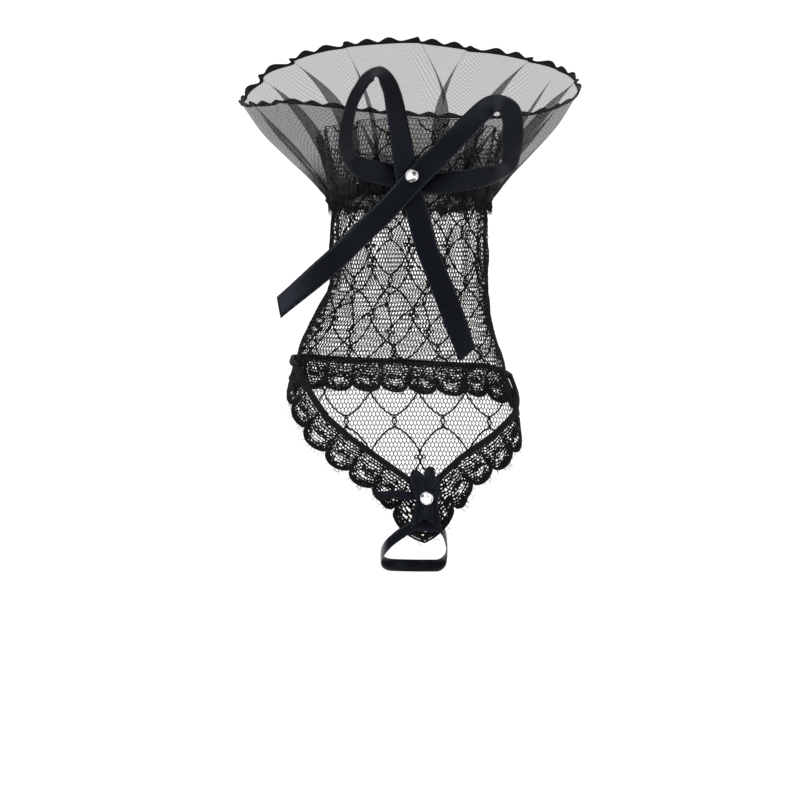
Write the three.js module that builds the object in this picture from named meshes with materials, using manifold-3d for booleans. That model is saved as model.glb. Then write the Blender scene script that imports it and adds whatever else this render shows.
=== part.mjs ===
// A lace cuff for the left hand, worn without fingers.
// A net sleeve covers the back of the hand down to a point and is gathered at the wrist.
// Above the gathers it ends in a frill, with a flared tulle ruffle round it.
// Millimetres, +Z up the forearm, the back of the hand faces -Y, origin at the wrist's centre
// on the gather line.
import * as THREE from "three";
import { mergeVertices } from "three/addons/utils/BufferGeometryUtils.js";
import Module from "manifold-3d";

const wasm = await Module();
wasm.setup();

// Cloth thicknesses and the clearances between neighbouring layers.
const clothWall = 1;
const elasticWall = 1.1;
const ribbonWall = 0.8;
const layerGap = 0.3;
const seamGap = 0.6;

// The net sleeve. Widths run along X and depths along Y, through the middle of the cloth.
const wristWidth = 48.6;
const wristDepth = 39.6;
const handWidth = 74;
const handDepth = 32;
const sleeveReach = 92.4;
const sectionRoundness = 2.3;
const sleeveColumns = 72;

// The frill of the same net above the gathers.
const frillHeight = 21;
const frillWidth = 58.4;
const frillDepth = 48;
const frillPleats = 24;
const frillPleatDepth = 0.9;
const gatherPleatDepth = 0.45;

// The elastic that gathers the wrist.
const elasticRise = 1.8;
const elasticDrop = 2.6;

// The flared tulle ruffle and its scalloped edging.
const ruffleWidth = 106.6;
const ruffleFrontDepth = 40.2;
const ruffleBackDepth = 33;
const ruffleHeight = 39.8;
const ruffleRoundness = 2.1;
const ruffleFoldDepth = 8;
const ruffleColumns = 52;
const ruffleFootEase = 0.4;
const edgingHeight = 1.2;
const edgingScallop = 0.5;
const edgingScallops = 56;
const edgingSlope = 0.06;

// The scalloped lace border along the hem and the narrow braid over its seam.
const trimDepth = 10.2;
const trimScallops = 23;
const trimValley = 0.7;
const trimPointReach = 1.5;
const trimStepsPerScallop = 6;
const bandWidth = 1.7;
const bandSteps = 84;

// The ribbon bow at the wrist.
const ribbonWidth = 7;
const bowSpan = 50;
const tailReach = 52;
const bowHeight = 2.1;
const bowAside = 0.6;
const bowClearance = 1.9;
const bowLayerStep = 1.45;
const ribbonSteps = 96;

// The small bow on the point of the hem and the ribbon loop for the middle finger.
const tipBowAside = 1;
const tipBowDrop = 2.2;
const tipBowWidth = 8.5;
const tipBowHeight = 8;
const tipPetalLength = 8.4;
const tipPetalWidth = 3;
const tipStrandLength = 17;
const tipStrandWidth = 1.6;
const tipBowWall = 1.2;
const tipPetalPoint = 0.6;
const loopRibbonWidth = 3.8;
const loopInnerWidth = 19.4;
const loopSteps = 44;
const loopAside = 1.3;
const loopDrop = 11.4;
const loopBackDrop = 10.5;

// The two round cut stones.
const stoneWidth = 4;
const stoneHeight = 1.7;
const stoneFacets = 10;
const stoneSeat = 0.9;

// Sections of the sleeve below the gather line. down is a share of sleeveReach, swell and
// flatten run from the wrist's size (0) to the hand's (1), and aside is a share of handWidth.
const sleeveSections = [
  { down: 0, swell: 0, flatten: 0, aside: 0.003 },
  { down: 0.13, swell: 0.01, flatten: 0.16, aside: -0.004 },
  { down: 0.27, swell: 0.03, flatten: 0.32, aside: -0.003 },
  { down: 0.38, swell: 0.23, flatten: 0.47, aside: -0.027 },
  { down: 0.49, swell: 0.51, flatten: 0.6, aside: -0.043 },
  { down: 0.6, swell: 0.75, flatten: 0.68, aside: -0.045 },
  { down: 0.7, swell: 0.91, flatten: 0.74, aside: -0.032 },
  { down: 1, swell: 1, flatten: 0.87, aside: -0.02 },
  { down: 1.2, swell: 1, flatten: 1, aside: -0.02 },
];

// Sections of the frill. up is a share of its height above the elastic, and flare runs from
// the wrist to its top.
const frillSections = [
  { up: 0, flare: 0 },
  { up: 0.35, flare: 0.4 },
  { up: 0.7, flare: 0.75 },
  { up: 1, flare: 1 },
];

// The hem's line round the hand. around is a share of the way round from the front's middle
// towards +X, and down is a share of sleeveReach.
const hemLine = [
  { around: 0, down: 0.951 },
  { around: 0.031, down: 1 },
  { around: 0.055, down: 0.958 },
  { around: 0.095, down: 0.887 },
  { around: 0.153, down: 0.812 },
  { around: 0.204, down: 0.733 },
  { around: 0.225, down: 0.66 },
  { around: 0.25, down: 0.6 },
  { around: 0.33, down: 0.545 },
  { around: 0.5, down: 0.52 },
  { around: 0.68, down: 0.515 },
  { around: 0.752, down: 0.534 },
  { around: 0.803, down: 0.573 },
  { around: 0.841, down: 0.672 },
  { around: 0.869, down: 0.752 },
  { around: 0.909, down: 0.822 },
  { around: 0.947, down: 0.877 },
  { around: 1, down: 0.951 },
];

// Where the pleats of the gathers die out below the elastic, as shares of sleeveReach.
const gatherFade = [
  { down: 0.028, size: 0 },
  { down: 0.07, size: 0.7 },
  { down: 0.12, size: 1 },
  { down: 0.34, size: 0 },
];

// The ruffle's profile. up is a share of its height, flare runs from its foot to its rim, and
// fold is a share of the folds' depth.
const ruffleProfile = [
  { up: 0, flare: 0, fold: 0 },
  { up: 0.13, flare: 0.12, fold: 0.12 },
  { up: 0.4, flare: 0.44, fold: 0.4 },
  { up: 0.7, flare: 0.77, fold: 0.5 },
  { up: 1, flare: 1, fold: 0.3 },
];

// Height of the ruffle's rim round the wrist, as a share of ruffleHeight.
const ruffleRim = [
  { around: 0, up: 1 },
  { around: 0.063, up: 0.955 },
  { around: 0.143, up: 0.925 },
  { around: 0.229, up: 0.9 },
  { around: 0.36, up: 0.86 },
  { around: 0.5, up: 0.92 },
  { around: 0.62, up: 0.97 },
  { around: 0.7, up: 0.86 },
  { around: 0.771, up: 0.76 },
  { around: 0.833, up: 0.875 },
  { around: 0.931, up: 0.98 },
  { around: 1, up: 1 },
];

// Folds that run up the ruffle. around and spread are shares of the way round, and depth is
// a share of ruffleFoldDepth.
const ruffleFolds = [
  { around: 0.0, spread: 0.013, depth: 0.55 },
  { around: 0.071, spread: 0.016, depth: 1 },
  { around: 0.143, spread: 0.014, depth: 0.85 },
  { around: 0.182, spread: 0.01, depth: 0.4 },
  { around: 0.236, spread: 0.017, depth: 0.8 },
  { around: 0.3, spread: 0.016, depth: 0.6 },
  { around: 0.37, spread: 0.018, depth: 0.8 },
  { around: 0.44, spread: 0.015, depth: 0.5 },
  { around: 0.51, spread: 0.018, depth: 0.8 },
  { around: 0.58, spread: 0.015, depth: 0.6 },
  { around: 0.65, spread: 0.017, depth: 0.75 },
  { around: 0.715, spread: 0.014, depth: 0.6 },
  { around: 0.775, spread: 0.012, depth: 0.5 },
  { around: 0.81, spread: 0.016, depth: 0.9 },
  { around: 0.856, spread: 0.016, depth: 1 },
  { around: 0.923, spread: 0.011, depth: 0.35 },
];

// The bow's ribbon from the left tail over the knot, round both loops and down the right
// tail. across and up are shares of bowSpan (of tailReach on a tail) from the knot, turn is
// the direction from the inner to the outer edge, and lean tips the outer edge back.
// front is a share of ribbonWidth in front of the ruffle's slope, and layer counts the
// layers that lie under the ribbon on the knot.
const bowBends = [
  { part: "tail", across: -0.772, up: -0.76, turn: 101, lean: 12, front: 0.1, layer: 1 },
  { part: "tail", across: -0.46, up: -0.49, turn: 125, lean: 0, front: 0.05, layer: 1 },
  { part: "tail", across: -0.31, up: -0.345, turn: 131, lean: 5, front: 0, layer: 1.5 },
  { part: "tail", across: -0.153, up: -0.197, turn: 130, lean: 0, front: 0, layer: 2 },
  { part: "loop", across: -0.012, up: -0.045, turn: 131, lean: 0, front: 0, layer: 2 },
  { part: "loop", across: 0.09, up: 0.055, turn: 136, lean: 0, front: 0, layer: 2 },
  { part: "loop", across: 0.219, up: 0.169, turn: 138, lean: 12, front: 0.1, layer: 1.6 },
  { part: "loop", across: 0.407, up: 0.348, turn: 132, lean: 20, front: 0.1, layer: 1 },
  { part: "loop", across: 0.505, up: 0.4, turn: 90, lean: 30, front: 0.15, layer: 1 },
  { part: "loop", across: 0.589, up: 0.348, turn: 36, lean: 12, front: 0.1, layer: 1 },
  { part: "loop", across: 0.603, up: 0.233, turn: 14, lean: 10, front: 0.1, layer: 1 },
  { part: "loop", across: 0.596, up: 0.117, turn: 8, lean: 34, front: 0.1, layer: 1 },
  { part: "loop", across: 0.545, up: 0.033, turn: -50, lean: 60, front: 0.3, layer: 1 },
  { part: "loop", across: 0.333, up: -0.014, turn: -107, lean: 25, front: 0.2, layer: 0.3 },
  { part: "loop", across: 0.09, up: -0.029, turn: -105, lean: 0, front: 0, layer: 0 },
  { part: "loop", across: -0.1, up: 0.018, turn: -99, lean: 0, front: 0, layer: 0 },
  { part: "loop", across: -0.275, up: 0.047, turn: -100, lean: 30, front: 0.1, layer: 0.4 },
  { part: "loop", across: -0.37, up: 0.093, turn: -122, lean: 52, front: 0.25, layer: 0.8 },
  { part: "loop", across: -0.399, up: 0.204, turn: -160, lean: 47, front: 0.15, layer: 1 },
  { part: "loop", across: -0.374, up: 0.345, turn: -156, lean: 45, front: 0.15, layer: 1 },
  { part: "loop", across: -0.304, up: 0.485, turn: -184, lean: 47, front: 0.2, layer: 1 },
  { part: "loop", across: -0.202, up: 0.565, turn: -284, lean: 48, front: 0.25, layer: 1 },
  { part: "loop", across: -0.131, up: 0.486, turn: -333, lean: 40, front: 0.2, layer: 1 },
  { part: "loop", across: -0.093, up: 0.342, turn: -342, lean: 32, front: 0.1, layer: 1 },
  { part: "loop", across: -0.054, up: 0.138, turn: -345, lean: 12, front: 0, layer: 1 },
  { part: "loop", across: -0.02, up: -0.039, turn: -337, lean: 0, front: 0, layer: 1 },
  { part: "tail", across: 0.028, up: -0.193, turn: -351, lean: 10, front: 0, layer: 1 },
  { part: "tail", across: 0.088, up: -0.417, turn: -360, lean: 0, front: 0, layer: 0.6 },
  { part: "tail", across: 0.185, up: -0.66, turn: -351, lean: 0, front: 0, layer: 0.5 },
  { part: "tail", across: 0.322, up: -1.033, turn: -318, lean: 14, front: 0.1, layer: 0.5 },
];

// The petals of the small bow, with the angle that each leans to the right.
const tipPetals = [{ lean: 24 }, { lean: -9 }];

// The outline of the small bow's body, as shares of half its width and of its height.
const tipBodyOutline = [
  { across: -0.55, up: 0.35 },
  { across: 0.45, up: 0.35 },
  { across: 1, up: -0.5 },
  { across: 0.7, up: -1 },
  { across: -0.2, up: -0.85 },
  { across: -1, up: -0.75 },
];

// The outline of the small bow's strand after its root. along is a share of its length, up is
// a share of half its width, and the bend columns place the curve's middle between two rows.
const tipStrandOutline = [
  { along: 0.9, up: 1.4, bendAlong: 0.5, bendUp: 2.2 },
  { along: 1, up: 3, bendAlong: 0.95, bendUp: 2.2 },
  { along: 0.86, up: -0.8, bendAlong: 1.06, bendUp: -1 },
  { along: 0, up: -1, bendAlong: 0.5, bendUp: 0.2 },
];

// How far the finger loop drops below its front. turn is a share of the way round from the
// front towards +X, and fall is a share of loopBackDrop.
const loopFalls = [
  { turn: 0, fall: 0 },
  { turn: 0.13, fall: 0.03 },
  { turn: 0.22, fall: 0.4 },
  { turn: 0.3, fall: 0.85 },
  { turn: 0.38, fall: 1 },
  { turn: 0.62, fall: 0.98 },
  { turn: 0.75, fall: 0.78 },
  { turn: 0.86, fall: 0.45 },
  { turn: 0.91, fall: 0.28 },
  { turn: 1, fall: 0 },
];

const fullTurn = 2 * Math.PI;
const quarterTurn = Math.PI / 2;
const degree = Math.PI / 180;
const petalBulge = 0.9;
const sectionSamples = 144;
const hemSamples = 720;
const sameColumn = 0.0022;
const slopeStep = 1e-3;

// Reads a column of a table at a place between its rows.
function readTable(table, key, column, at) {
  const last = table.length - 1;
  if (at <= table[0][key]) return table[0][column];
  if (at >= table[last][key]) return table[last][column];
  const next = table.findIndex((row) => row[key] > at);
  const low = table[next - 1];
  const high = table[next];
  const share = (at - low[key]) / (high[key] - low[key]);
  return THREE.MathUtils.lerp(low[column], high[column], share);
}

// Brings a share of the way round into 0 to 1.
function wrapShare(share) {
  return share - Math.floor(share);
}

// One point of a rounded section at an angle from the front.
function sectionCorner(section, angle) {
  const sine = Math.sin(angle);
  const cosine = Math.cos(angle);
  const power = 2 / section.roundness;
  const depth = cosine > 0 ? section.front : section.back;
  return new THREE.Vector2(
    section.aside + section.half * Math.sign(sine) * Math.abs(sine) ** power,
    -depth * Math.sign(cosine) * Math.abs(cosine) ** power,
  );
}

// The corners of a section with the length walked at each.
function measureSection(section) {
  const corners = [];
  let length = 0;
  for (let step = 0; step <= sectionSamples; step += 1) {
    const corner = sectionCorner(section, (fullTurn * step) / sectionSamples);
    if (step > 0) length += corner.distanceTo(corners[step - 1].corner);
    corners.push({ corner, length });
  }
  return { corners, length };
}

// The point at a share of the way round a section, and the section's direction outward there.
function walkSection(measured, around) {
  const target = wrapShare(around) * measured.length;
  const next = Math.max(
    1,
    measured.corners.findIndex((entry) => entry.length >= target),
  );
  const low = measured.corners[next - 1];
  const high = measured.corners[next];
  const share = (target - low.length) / (high.length - low.length);
  const along = high.corner.clone().sub(low.corner).normalize();
  return {
    point: low.corner.clone().lerp(high.corner, share),
    outward: new THREE.Vector2(along.y, -along.x),
  };
}

// The sleeve's section at a height, by its distance below the gather line or above it.
function sleeveSection(height) {
  if (height > 0) {
    const up = (height - elasticRise) / (frillHeight - elasticRise);
    const flare = readTable(frillSections, "up", "flare", up);
    const depth = THREE.MathUtils.lerp(wristDepth, frillDepth, flare) / 2;
    return {
      half: THREE.MathUtils.lerp(wristWidth, frillWidth, flare) / 2,
      front: depth,
      back: depth,
      aside: sleeveSections[0].aside * handWidth,
      roundness: sectionRoundness,
    };
  }
  const down = -height / sleeveReach;
  const swell = readTable(sleeveSections, "down", "swell", down);
  const flatten = readTable(sleeveSections, "down", "flatten", down);
  const depth = THREE.MathUtils.lerp(wristDepth, handDepth, flatten) / 2;
  return {
    half: THREE.MathUtils.lerp(wristWidth, handWidth, swell) / 2,
    front: depth,
    back: depth,
    aside: readTable(sleeveSections, "down", "aside", down) * handWidth,
    roundness: sectionRoundness,
  };
}

const measuredSections = new Map();

// The sleeve's measured section, kept for each height that was asked for.
function measuredSleeve(height) {
  const key = height.toFixed(3);
  if (!measuredSections.has(key)) {
    measuredSections.set(key, measureSection(sleeveSection(height)));
  }
  return measuredSections.get(key);
}

// A point on the sleeve's cloth, moved outward by a distance.
function sleevePoint(around, height, outward) {
  const spot = walkSection(measuredSleeve(height), around);
  return new THREE.Vector3(
    spot.point.x + spot.outward.x * outward,
    spot.point.y + spot.outward.y * outward,
    height,
  );
}

// Height of the hem at a share of the way round.
function hemHeight(around) {
  return -sleeveReach * readTable(hemLine, "around", "down", wrapShare(around));
}

// The section of the ruffle at a share of its height.
function ruffleSection(up) {
  const flare = readTable(ruffleProfile, "up", "flare", up);
  const foot = clothWall + layerGap + ruffleFootEase;
  const footHalf = wristWidth / 2 + foot;
  const footDepth = wristDepth / 2 + foot;
  return {
    half: THREE.MathUtils.lerp(footHalf, ruffleWidth / 2, flare),
    front: THREE.MathUtils.lerp(footDepth, ruffleFrontDepth, flare),
    back: THREE.MathUtils.lerp(footDepth, ruffleBackDepth, flare),
    aside: sleeveSections[0].aside * handWidth,
    roundness: THREE.MathUtils.lerp(sectionRoundness, ruffleRoundness, flare),
  };
}

const ruffleFoot = elasticRise + layerGap;

// How far the folds press the ruffle inward at a share of the way round.
function foldPress(around) {
  return ruffleFolds.reduce((press, fold) => {
    const away = Math.abs(wrapShare(around - fold.around + 0.5) - 0.5);
    return press + fold.depth * Math.max(0, 1 - away / fold.spread);
  }, 0);
}

const measuredRuffle = new Map();

// A point on the ruffle at a share of the way round and of its height.
function rufflePoint(around, up) {
  const key = up.toFixed(4);
  if (!measuredRuffle.has(key)) {
    measuredRuffle.set(key, measureSection(ruffleSection(up)));
  }
  const spot = walkSection(measuredRuffle.get(key), around);
  const fold = readTable(ruffleProfile, "up", "fold", up);
  const inward = ruffleFoldDepth * fold * foldPress(around);
  const rim = ruffleHeight * readTable(ruffleRim, "around", "up", wrapShare(around));
  return new THREE.Vector3(
    spot.point.x - spot.outward.x * inward,
    spot.point.y - spot.outward.y * inward,
    ruffleFoot + up * (rim - ruffleFoot),
  );
}

// A closed wall of cloth over a grid of places: the grid's middle surface moved half the
// wall to each side, with its edges and the edges of its cut cells walled in.
function clothSheet({ columns, rows, place, wall, joined, cut = () => false }) {
  const middle = [];
  for (let column = 0; column < columns; column += 1) {
    for (let row = 0; row < rows; row += 1) middle.push(place(column, row));
  }
  const at = (column, row) => middle[column * rows + row];
  const neighbour = (column, step) => {
    if (joined) return (column + step + columns) % columns;
    return THREE.MathUtils.clamp(column + step, 0, columns - 1);
  };
  const positions = [];
  for (let column = 0; column < columns; column += 1) {
    for (let row = 0; row < rows; row += 1) {
      const along = at(neighbour(column, 1), row).clone().sub(at(neighbour(column, -1), row));
      const across = at(column, Math.min(row + 1, rows - 1))
        .clone()
        .sub(at(column, Math.max(row - 1, 0)));
      const offset = along.cross(across).normalize().multiplyScalar(wall / 2);
      const point = at(column, row);
      positions.push(...point.clone().add(offset).toArray());
      positions.push(...point.clone().sub(offset).toArray());
    }
  }
  const cells = joined ? columns : columns - 1;
  const vertex = (column, row, side) => 2 * ((column % columns) * rows + row) + side;
  const isCloth = (column, row) => {
    if (row < 0 || row >= rows - 1) return false;
    if (!joined && (column < 0 || column >= cells)) return false;
    const around = (column + cells) % cells;
    return !cut(around, row);
  };
  const index = [];
  const quad = (a, b, c, d) => index.push(a, b, c, a, c, d);
  for (let column = 0; column < cells; column += 1) {
    for (let row = 0; row < rows - 1; row += 1) {
      if (!isCloth(column, row)) continue;
      const corners = [
        [column, row],
        [column + 1, row],
        [column + 1, row + 1],
        [column, row + 1],
      ];
      quad(...corners.map(([c, r]) => vertex(c, r, 0)));
      quad(...corners.map(([c, r]) => vertex(c, r, 1)).reverse());
      const beyond = [
        [column, row - 1],
        [column + 1, row],
        [column, row + 1],
        [column - 1, row],
      ];
      beyond.forEach(([c, r], side) => {
        if (isCloth(c, r)) return;
        const [fromColumn, fromRow] = corners[side];
        const [toColumn, toRow] = corners[(side + 1) % corners.length];
        quad(
          vertex(toColumn, toRow, 0),
          vertex(fromColumn, fromRow, 0),
          vertex(fromColumn, fromRow, 1),
          vertex(toColumn, toRow, 1),
        );
      });
    }
  }
  const geometry = new THREE.BufferGeometry();
  geometry.setAttribute("position", new THREE.Float32BufferAttribute(positions, 3));
  geometry.setIndex(index);
  return facingOut(geometry);
}

// Turns the faces of a closed geometry so that they point out.
function facingOut(geometry) {
  const position = geometry.getAttribute("position");
  const index = geometry.getIndex();
  const corner = [new THREE.Vector3(), new THREE.Vector3(), new THREE.Vector3()];
  let volume = 0;
  for (let face = 0; face < index.count; face += 3) {
    corner.forEach((point, side) => {
      point.fromBufferAttribute(position, index.getX(face + side));
    });
    volume += corner[0].dot(corner[1].clone().cross(corner[2]));
  }
  if (volume < 0) geometry.setIndex(Array.from(index.array).reverse());
  geometry.computeVertexNormals();
  return geometry;
}

// A geometry as a solid for joining and cutting.
function toSolid(geometry) {
  const plain = geometry.clone();
  plain.deleteAttribute("normal");
  plain.deleteAttribute("uv");
  const merged = mergeVertices(plain, slopeStep);
  return new wasm.Manifold(
    new wasm.Mesh({
      numProp: 3,
      vertProperties: new Float32Array(merged.attributes.position.array),
      triVerts: new Uint32Array(merged.index.array),
    }),
  );
}

// A solid back as a geometry.
function toGeometry(solid) {
  const mesh = solid.getMesh();
  const geometry = new THREE.BufferGeometry();
  geometry.setAttribute("position", new THREE.Float32BufferAttribute(mesh.vertProperties, 3));
  geometry.setIndex(Array.from(mesh.triVerts));
  geometry.computeVertexNormals();
  return geometry;
}

// Sorted shares of the way round without near repeats.
function sortShares(shares) {
  const sorted = shares.map(wrapShare).sort((low, high) => low - high);
  return sorted.filter((share, order) => {
    if (order === 0) return true;
    return share - sorted[order - 1] > sameColumn && 1 - share > sameColumn;
  });
}

// The net sleeve from the frill's top to the hem, with its pleats.
function makeSleeve() {
  const rise = [1, 0.66, 0.3, 0];
  const fall = [0, 0.16, 0.36, 0.55, 0.76, 1];
  const rows = rise.length + fall.length;
  const place = (column, row) => {
    const around = column / sleeveColumns;
    const pleat = Math.cos(fullTurn * around * frillPleats);
    if (row < rise.length) {
      const height = THREE.MathUtils.lerp(elasticRise, frillHeight, rise[row]);
      return sleevePoint(around, height, rise[row] * pleat * frillPleatDepth);
    }
    const share = fall[row - rise.length];
    const height = THREE.MathUtils.lerp(-elasticDrop, hemHeight(around), share);
    const fade = readTable(gatherFade, "down", "size", -height / sleeveReach);
    return sleevePoint(around, height, fade * pleat * gatherPleatDepth);
  };
  return clothSheet({ columns: sleeveColumns, rows, place, wall: clothWall, joined: true });
}

// The elastic round the gathers.
function makeElastic() {
  const outward = clothWall / 2 + layerGap + elasticWall / 2;
  const heights = [elasticRise, -elasticDrop];
  const wrist = measureSection(sleeveSection(0));
  const place = (column, row) => {
    const spot = walkSection(wrist, column / sleeveColumns);
    return new THREE.Vector3(
      spot.point.x + spot.outward.x * outward,
      spot.point.y + spot.outward.y * outward,
      heights[row],
    );
  };
  return clothSheet({
    columns: sleeveColumns,
    rows: heights.length,
    place,
    wall: elasticWall,
    joined: true,
  });
}

const evenShares = (count) => Array.from({ length: count }, (_, step) => step / count);

const ruffleShares = sortShares([
  ...evenShares(ruffleColumns),
  ...ruffleFolds.flatMap((fold) => [
    fold.around - fold.spread,
    fold.around,
    fold.around + fold.spread,
  ]),
]);

// The tulle ruffle from the elastic up to its rim.
function makeRuffle() {
  const heights = ruffleProfile.map((row) => row.up);
  return clothSheet({
    columns: ruffleShares.length,
    rows: heights.length,
    place: (column, row) => rufflePoint(ruffleShares[column], heights[row]),
    wall: clothWall,
    joined: true,
  });
}

// A point on the straight line between two neighbouring columns of the ruffle.
function ruffleChord(around, up) {
  const count = ruffleShares.length;
  const after = ruffleShares.findIndex((share) => share > around);
  const high = after < 0 ? 0 : after;
  const low = (high + count - 1) % count;
  const span = wrapShare(ruffleShares[high] - ruffleShares[low]);
  const share = wrapShare(around - ruffleShares[low]) / span;
  return rufflePoint(ruffleShares[low], up).lerp(rufflePoint(ruffleShares[high], up), share);
}

// The scalloped edging along the ruffle's rim.
function makeEdging() {
  const shares = sortShares([...ruffleShares, ...evenShares(2 * edgingScallops)]);
  const place = (column, row) => {
    const around = shares[column];
    const rim = ruffleChord(around, 1);
    const slope = rim.clone().sub(ruffleChord(around, 1 - edgingSlope)).normalize();
    const bump = Math.abs(Math.cos(Math.PI * around * edgingScallops));
    const reach = row === 0 ? 0 : edgingHeight + edgingScallop * bump;
    return rim.addScaledVector(slope, layerGap + reach);
  };
  return clothSheet({
    columns: shares.length,
    rows: 2,
    place,
    wall: clothWall,
    joined: true,
  });
}

// The hem walked from its point, with the length at each step.
const hemPointShare = hemLine.reduce((low, row) => (row.down > low.down ? row : low)).around;
const hemWalk = [];
for (let step = 0; step <= hemSamples; step += 1) {
  const around = hemPointShare + step / hemSamples;
  const point = sleevePoint(around, hemHeight(around), 0);
  const before = hemWalk[step - 1];
  const length = before ? before.length + point.distanceTo(before.point) : 0;
  hemWalk.push({ around, point, length });
}
const hemLength = hemWalk[hemSamples].length;

// The share of the way round at a share of the hem's own length.
function hemShare(along) {
  return readTable(hemWalk, "length", "around", wrapShare(along) * hemLength);
}

// A point a distance below the hem, square to its line, moved outward from the cloth.
function hemPoint(along, below, outward) {
  const window = trimDepth / hemLength / 2;
  const around = hemShare(along);
  const before = hemShare(along - window);
  const after = hemShare(along + window);
  const girth = measuredSleeve(hemHeight(around)).length;
  const run = wrapShare(after - before) * girth;
  const rise = hemHeight(after) - hemHeight(before);
  const span = Math.hypot(run, rise);
  return sleevePoint(
    around + (below * rise) / span / girth,
    hemHeight(around) - (below * run) / span,
    outward,
  );
}

// The scalloped lace border, with one eyelet in each scallop.
function makeTrim() {
  const rowShares = [0, 0.36, 0.7, 1];
  const columns = trimScallops * trimStepsPerScallop;
  const half = trimStepsPerScallop / 2;
  const place = (column, row) => {
    const along = column / columns;
    const phase = (((column + half) % trimStepsPerScallop) - half) / half;
    const scallop = Math.sqrt(1 - phase * phase);
    const fromPoint = Math.abs(wrapShare(along + 0.5) - 0.5) * trimScallops;
    const point = 1 + (trimPointReach - 1) * Math.max(0, 1 - fromPoint);
    const reach = trimDepth * point * THREE.MathUtils.lerp(trimValley, 1, scallop);
    return hemPoint(along, THREE.MathUtils.lerp(seamGap, reach, rowShares[row]), 0);
  };
  const cut = (column, row) => {
    const step = (column + half) % trimStepsPerScallop;
    return row === 1 && (step === half || step === half - 1);
  };
  return clothSheet({
    columns,
    rows: rowShares.length,
    place,
    wall: clothWall,
    joined: true,
    cut,
  });
}

// The narrow braid that covers the seam between sleeve and border.
function makeBand() {
  const outward = clothWall + layerGap;
  return clothSheet({
    columns: bandSteps,
    rows: 2,
    place: (column, row) => hemPoint(column / bandSteps, bandWidth * (row - 1 / 2), outward),
    wall: clothWall,
    joined: true,
  });
}

// Depth of the foremost cloth behind the bow at a height, on the front's middle.
function frontAt(height) {
  const up = (height - ruffleFoot) / (ruffleHeight - ruffleFoot);
  if (up > 0) return -ruffleSection(up).front - clothWall / 2;
  const elasticFront = clothWall + layerGap + elasticWall;
  return -sleeveSection(Math.min(0, height)).front - elasticFront;
}

// The bow's ribbon in one length, crossing itself in three layers on the knot.
function makeBow() {
  const bends = bowBends.map((bend) => {
    const size = bend.part === "tail" ? tailReach : bowSpan;
    const across = bowAside + bend.across * size;
    const height = bowHeight + bend.up * size;
    const forward = bowClearance + bend.layer * bowLayerStep + bend.front * ribbonWidth;
    return {
      centre: new THREE.Vector3(across, frontAt(height) - forward, height),
      turn: bend.turn * degree,
      lean: bend.lean * degree,
    };
  });
  const middle = new THREE.CatmullRomCurve3(bends.map((bend) => bend.centre));
  const last = bends.length - 1;
  const place = (column, row) => {
    const at = (column / (ribbonSteps - 1)) * last;
    const low = Math.min(Math.floor(at), last - 1);
    const share = THREE.MathUtils.smoothstep(at - low, 0, 1);
    const turn = THREE.MathUtils.lerp(bends[low].turn, bends[low + 1].turn, share);
    const lean = THREE.MathUtils.lerp(bends[low].lean, bends[low + 1].lean, share);
    const half = (ribbonWidth / 2) * (row === 0 ? 1 : -1);
    return middle.getPoint(at / last).add(
      new THREE.Vector3(
        half * Math.cos(lean) * Math.cos(turn),
        half * Math.sin(lean),
        half * Math.cos(lean) * Math.sin(turn),
      ),
    );
  };
  return clothSheet({ columns: ribbonSteps, rows: 2, place, wall: ribbonWall, joined: false });
}

// A round cut stone with a flat back on its own origin and its table along +Y.
function makeStone() {
  const half = stoneWidth / 2;
  const profile = [
    { out: 0, up: 0 },
    { out: 1, up: 0 },
    { out: 1, up: 0.25 },
    { out: 0.82, up: 0.68 },
    { out: 0.5, up: 1 },
    { out: 0, up: 1 },
  ];
  const points = profile.map((p) => new THREE.Vector2(p.out * half, p.up * stoneHeight));
  return new THREE.LatheGeometry(points, stoneFacets);
}

// A flat shape of cloth standing in the front plane, extruded towards -Y.
function frontPiece(shape) {
  const geometry = new THREE.ExtrudeGeometry(shape, {
    depth: tipBowWall,
    bevelEnabled: false,
    curveSegments: 5,
  });
  return geometry.rotateX(quarterTurn);
}

// A pointed petal that rises from the knot of the small bow.
function makePetal(lean) {
  const shape = new THREE.Shape();
  const side = tipPetalWidth * petalBulge;
  const half = tipPetalPoint / 2;
  shape.moveTo(0, 0);
  shape.quadraticCurveTo(side, tipPetalLength / 2, half, tipPetalLength);
  shape.lineTo(-half, tipPetalLength);
  shape.quadraticCurveTo(-side, tipPetalLength / 2, 0, 0);
  return frontPiece(shape).rotateY(lean * degree);
}

// The folded body of the small bow below its stone.
function makeTipBody() {
  const half = tipBowWidth / 2;
  const corners = tipBodyOutline.map(
    (row) => new THREE.Vector2(row.across * half, row.up * tipBowHeight),
  );
  return frontPiece(new THREE.Shape(corners));
}

// The thin strand that lies along the hem to the left and curls up at its end.
function makeTipStrand() {
  const half = tipStrandWidth / 2;
  const shape = new THREE.Shape();
  shape.moveTo(0, half);
  tipStrandOutline.forEach((row) => {
    shape.quadraticCurveTo(
      -row.bendAlong * tipStrandLength,
      row.bendUp * half,
      -row.along * tipStrandLength,
      row.up * half,
    );
  });
  shape.closePath();
  return frontPiece(shape);
}

// The small bow on the point of the hem.
function makeTipBow() {
  const petals = tipPetals.map((petal) => makePetal(petal.lean));
  const pieces = [...petals, makeTipBody(), makeTipStrand()];
  const joined = pieces.map(toSolid).reduce((whole, piece) => whole.add(piece));
  return toGeometry(joined);
}

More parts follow.
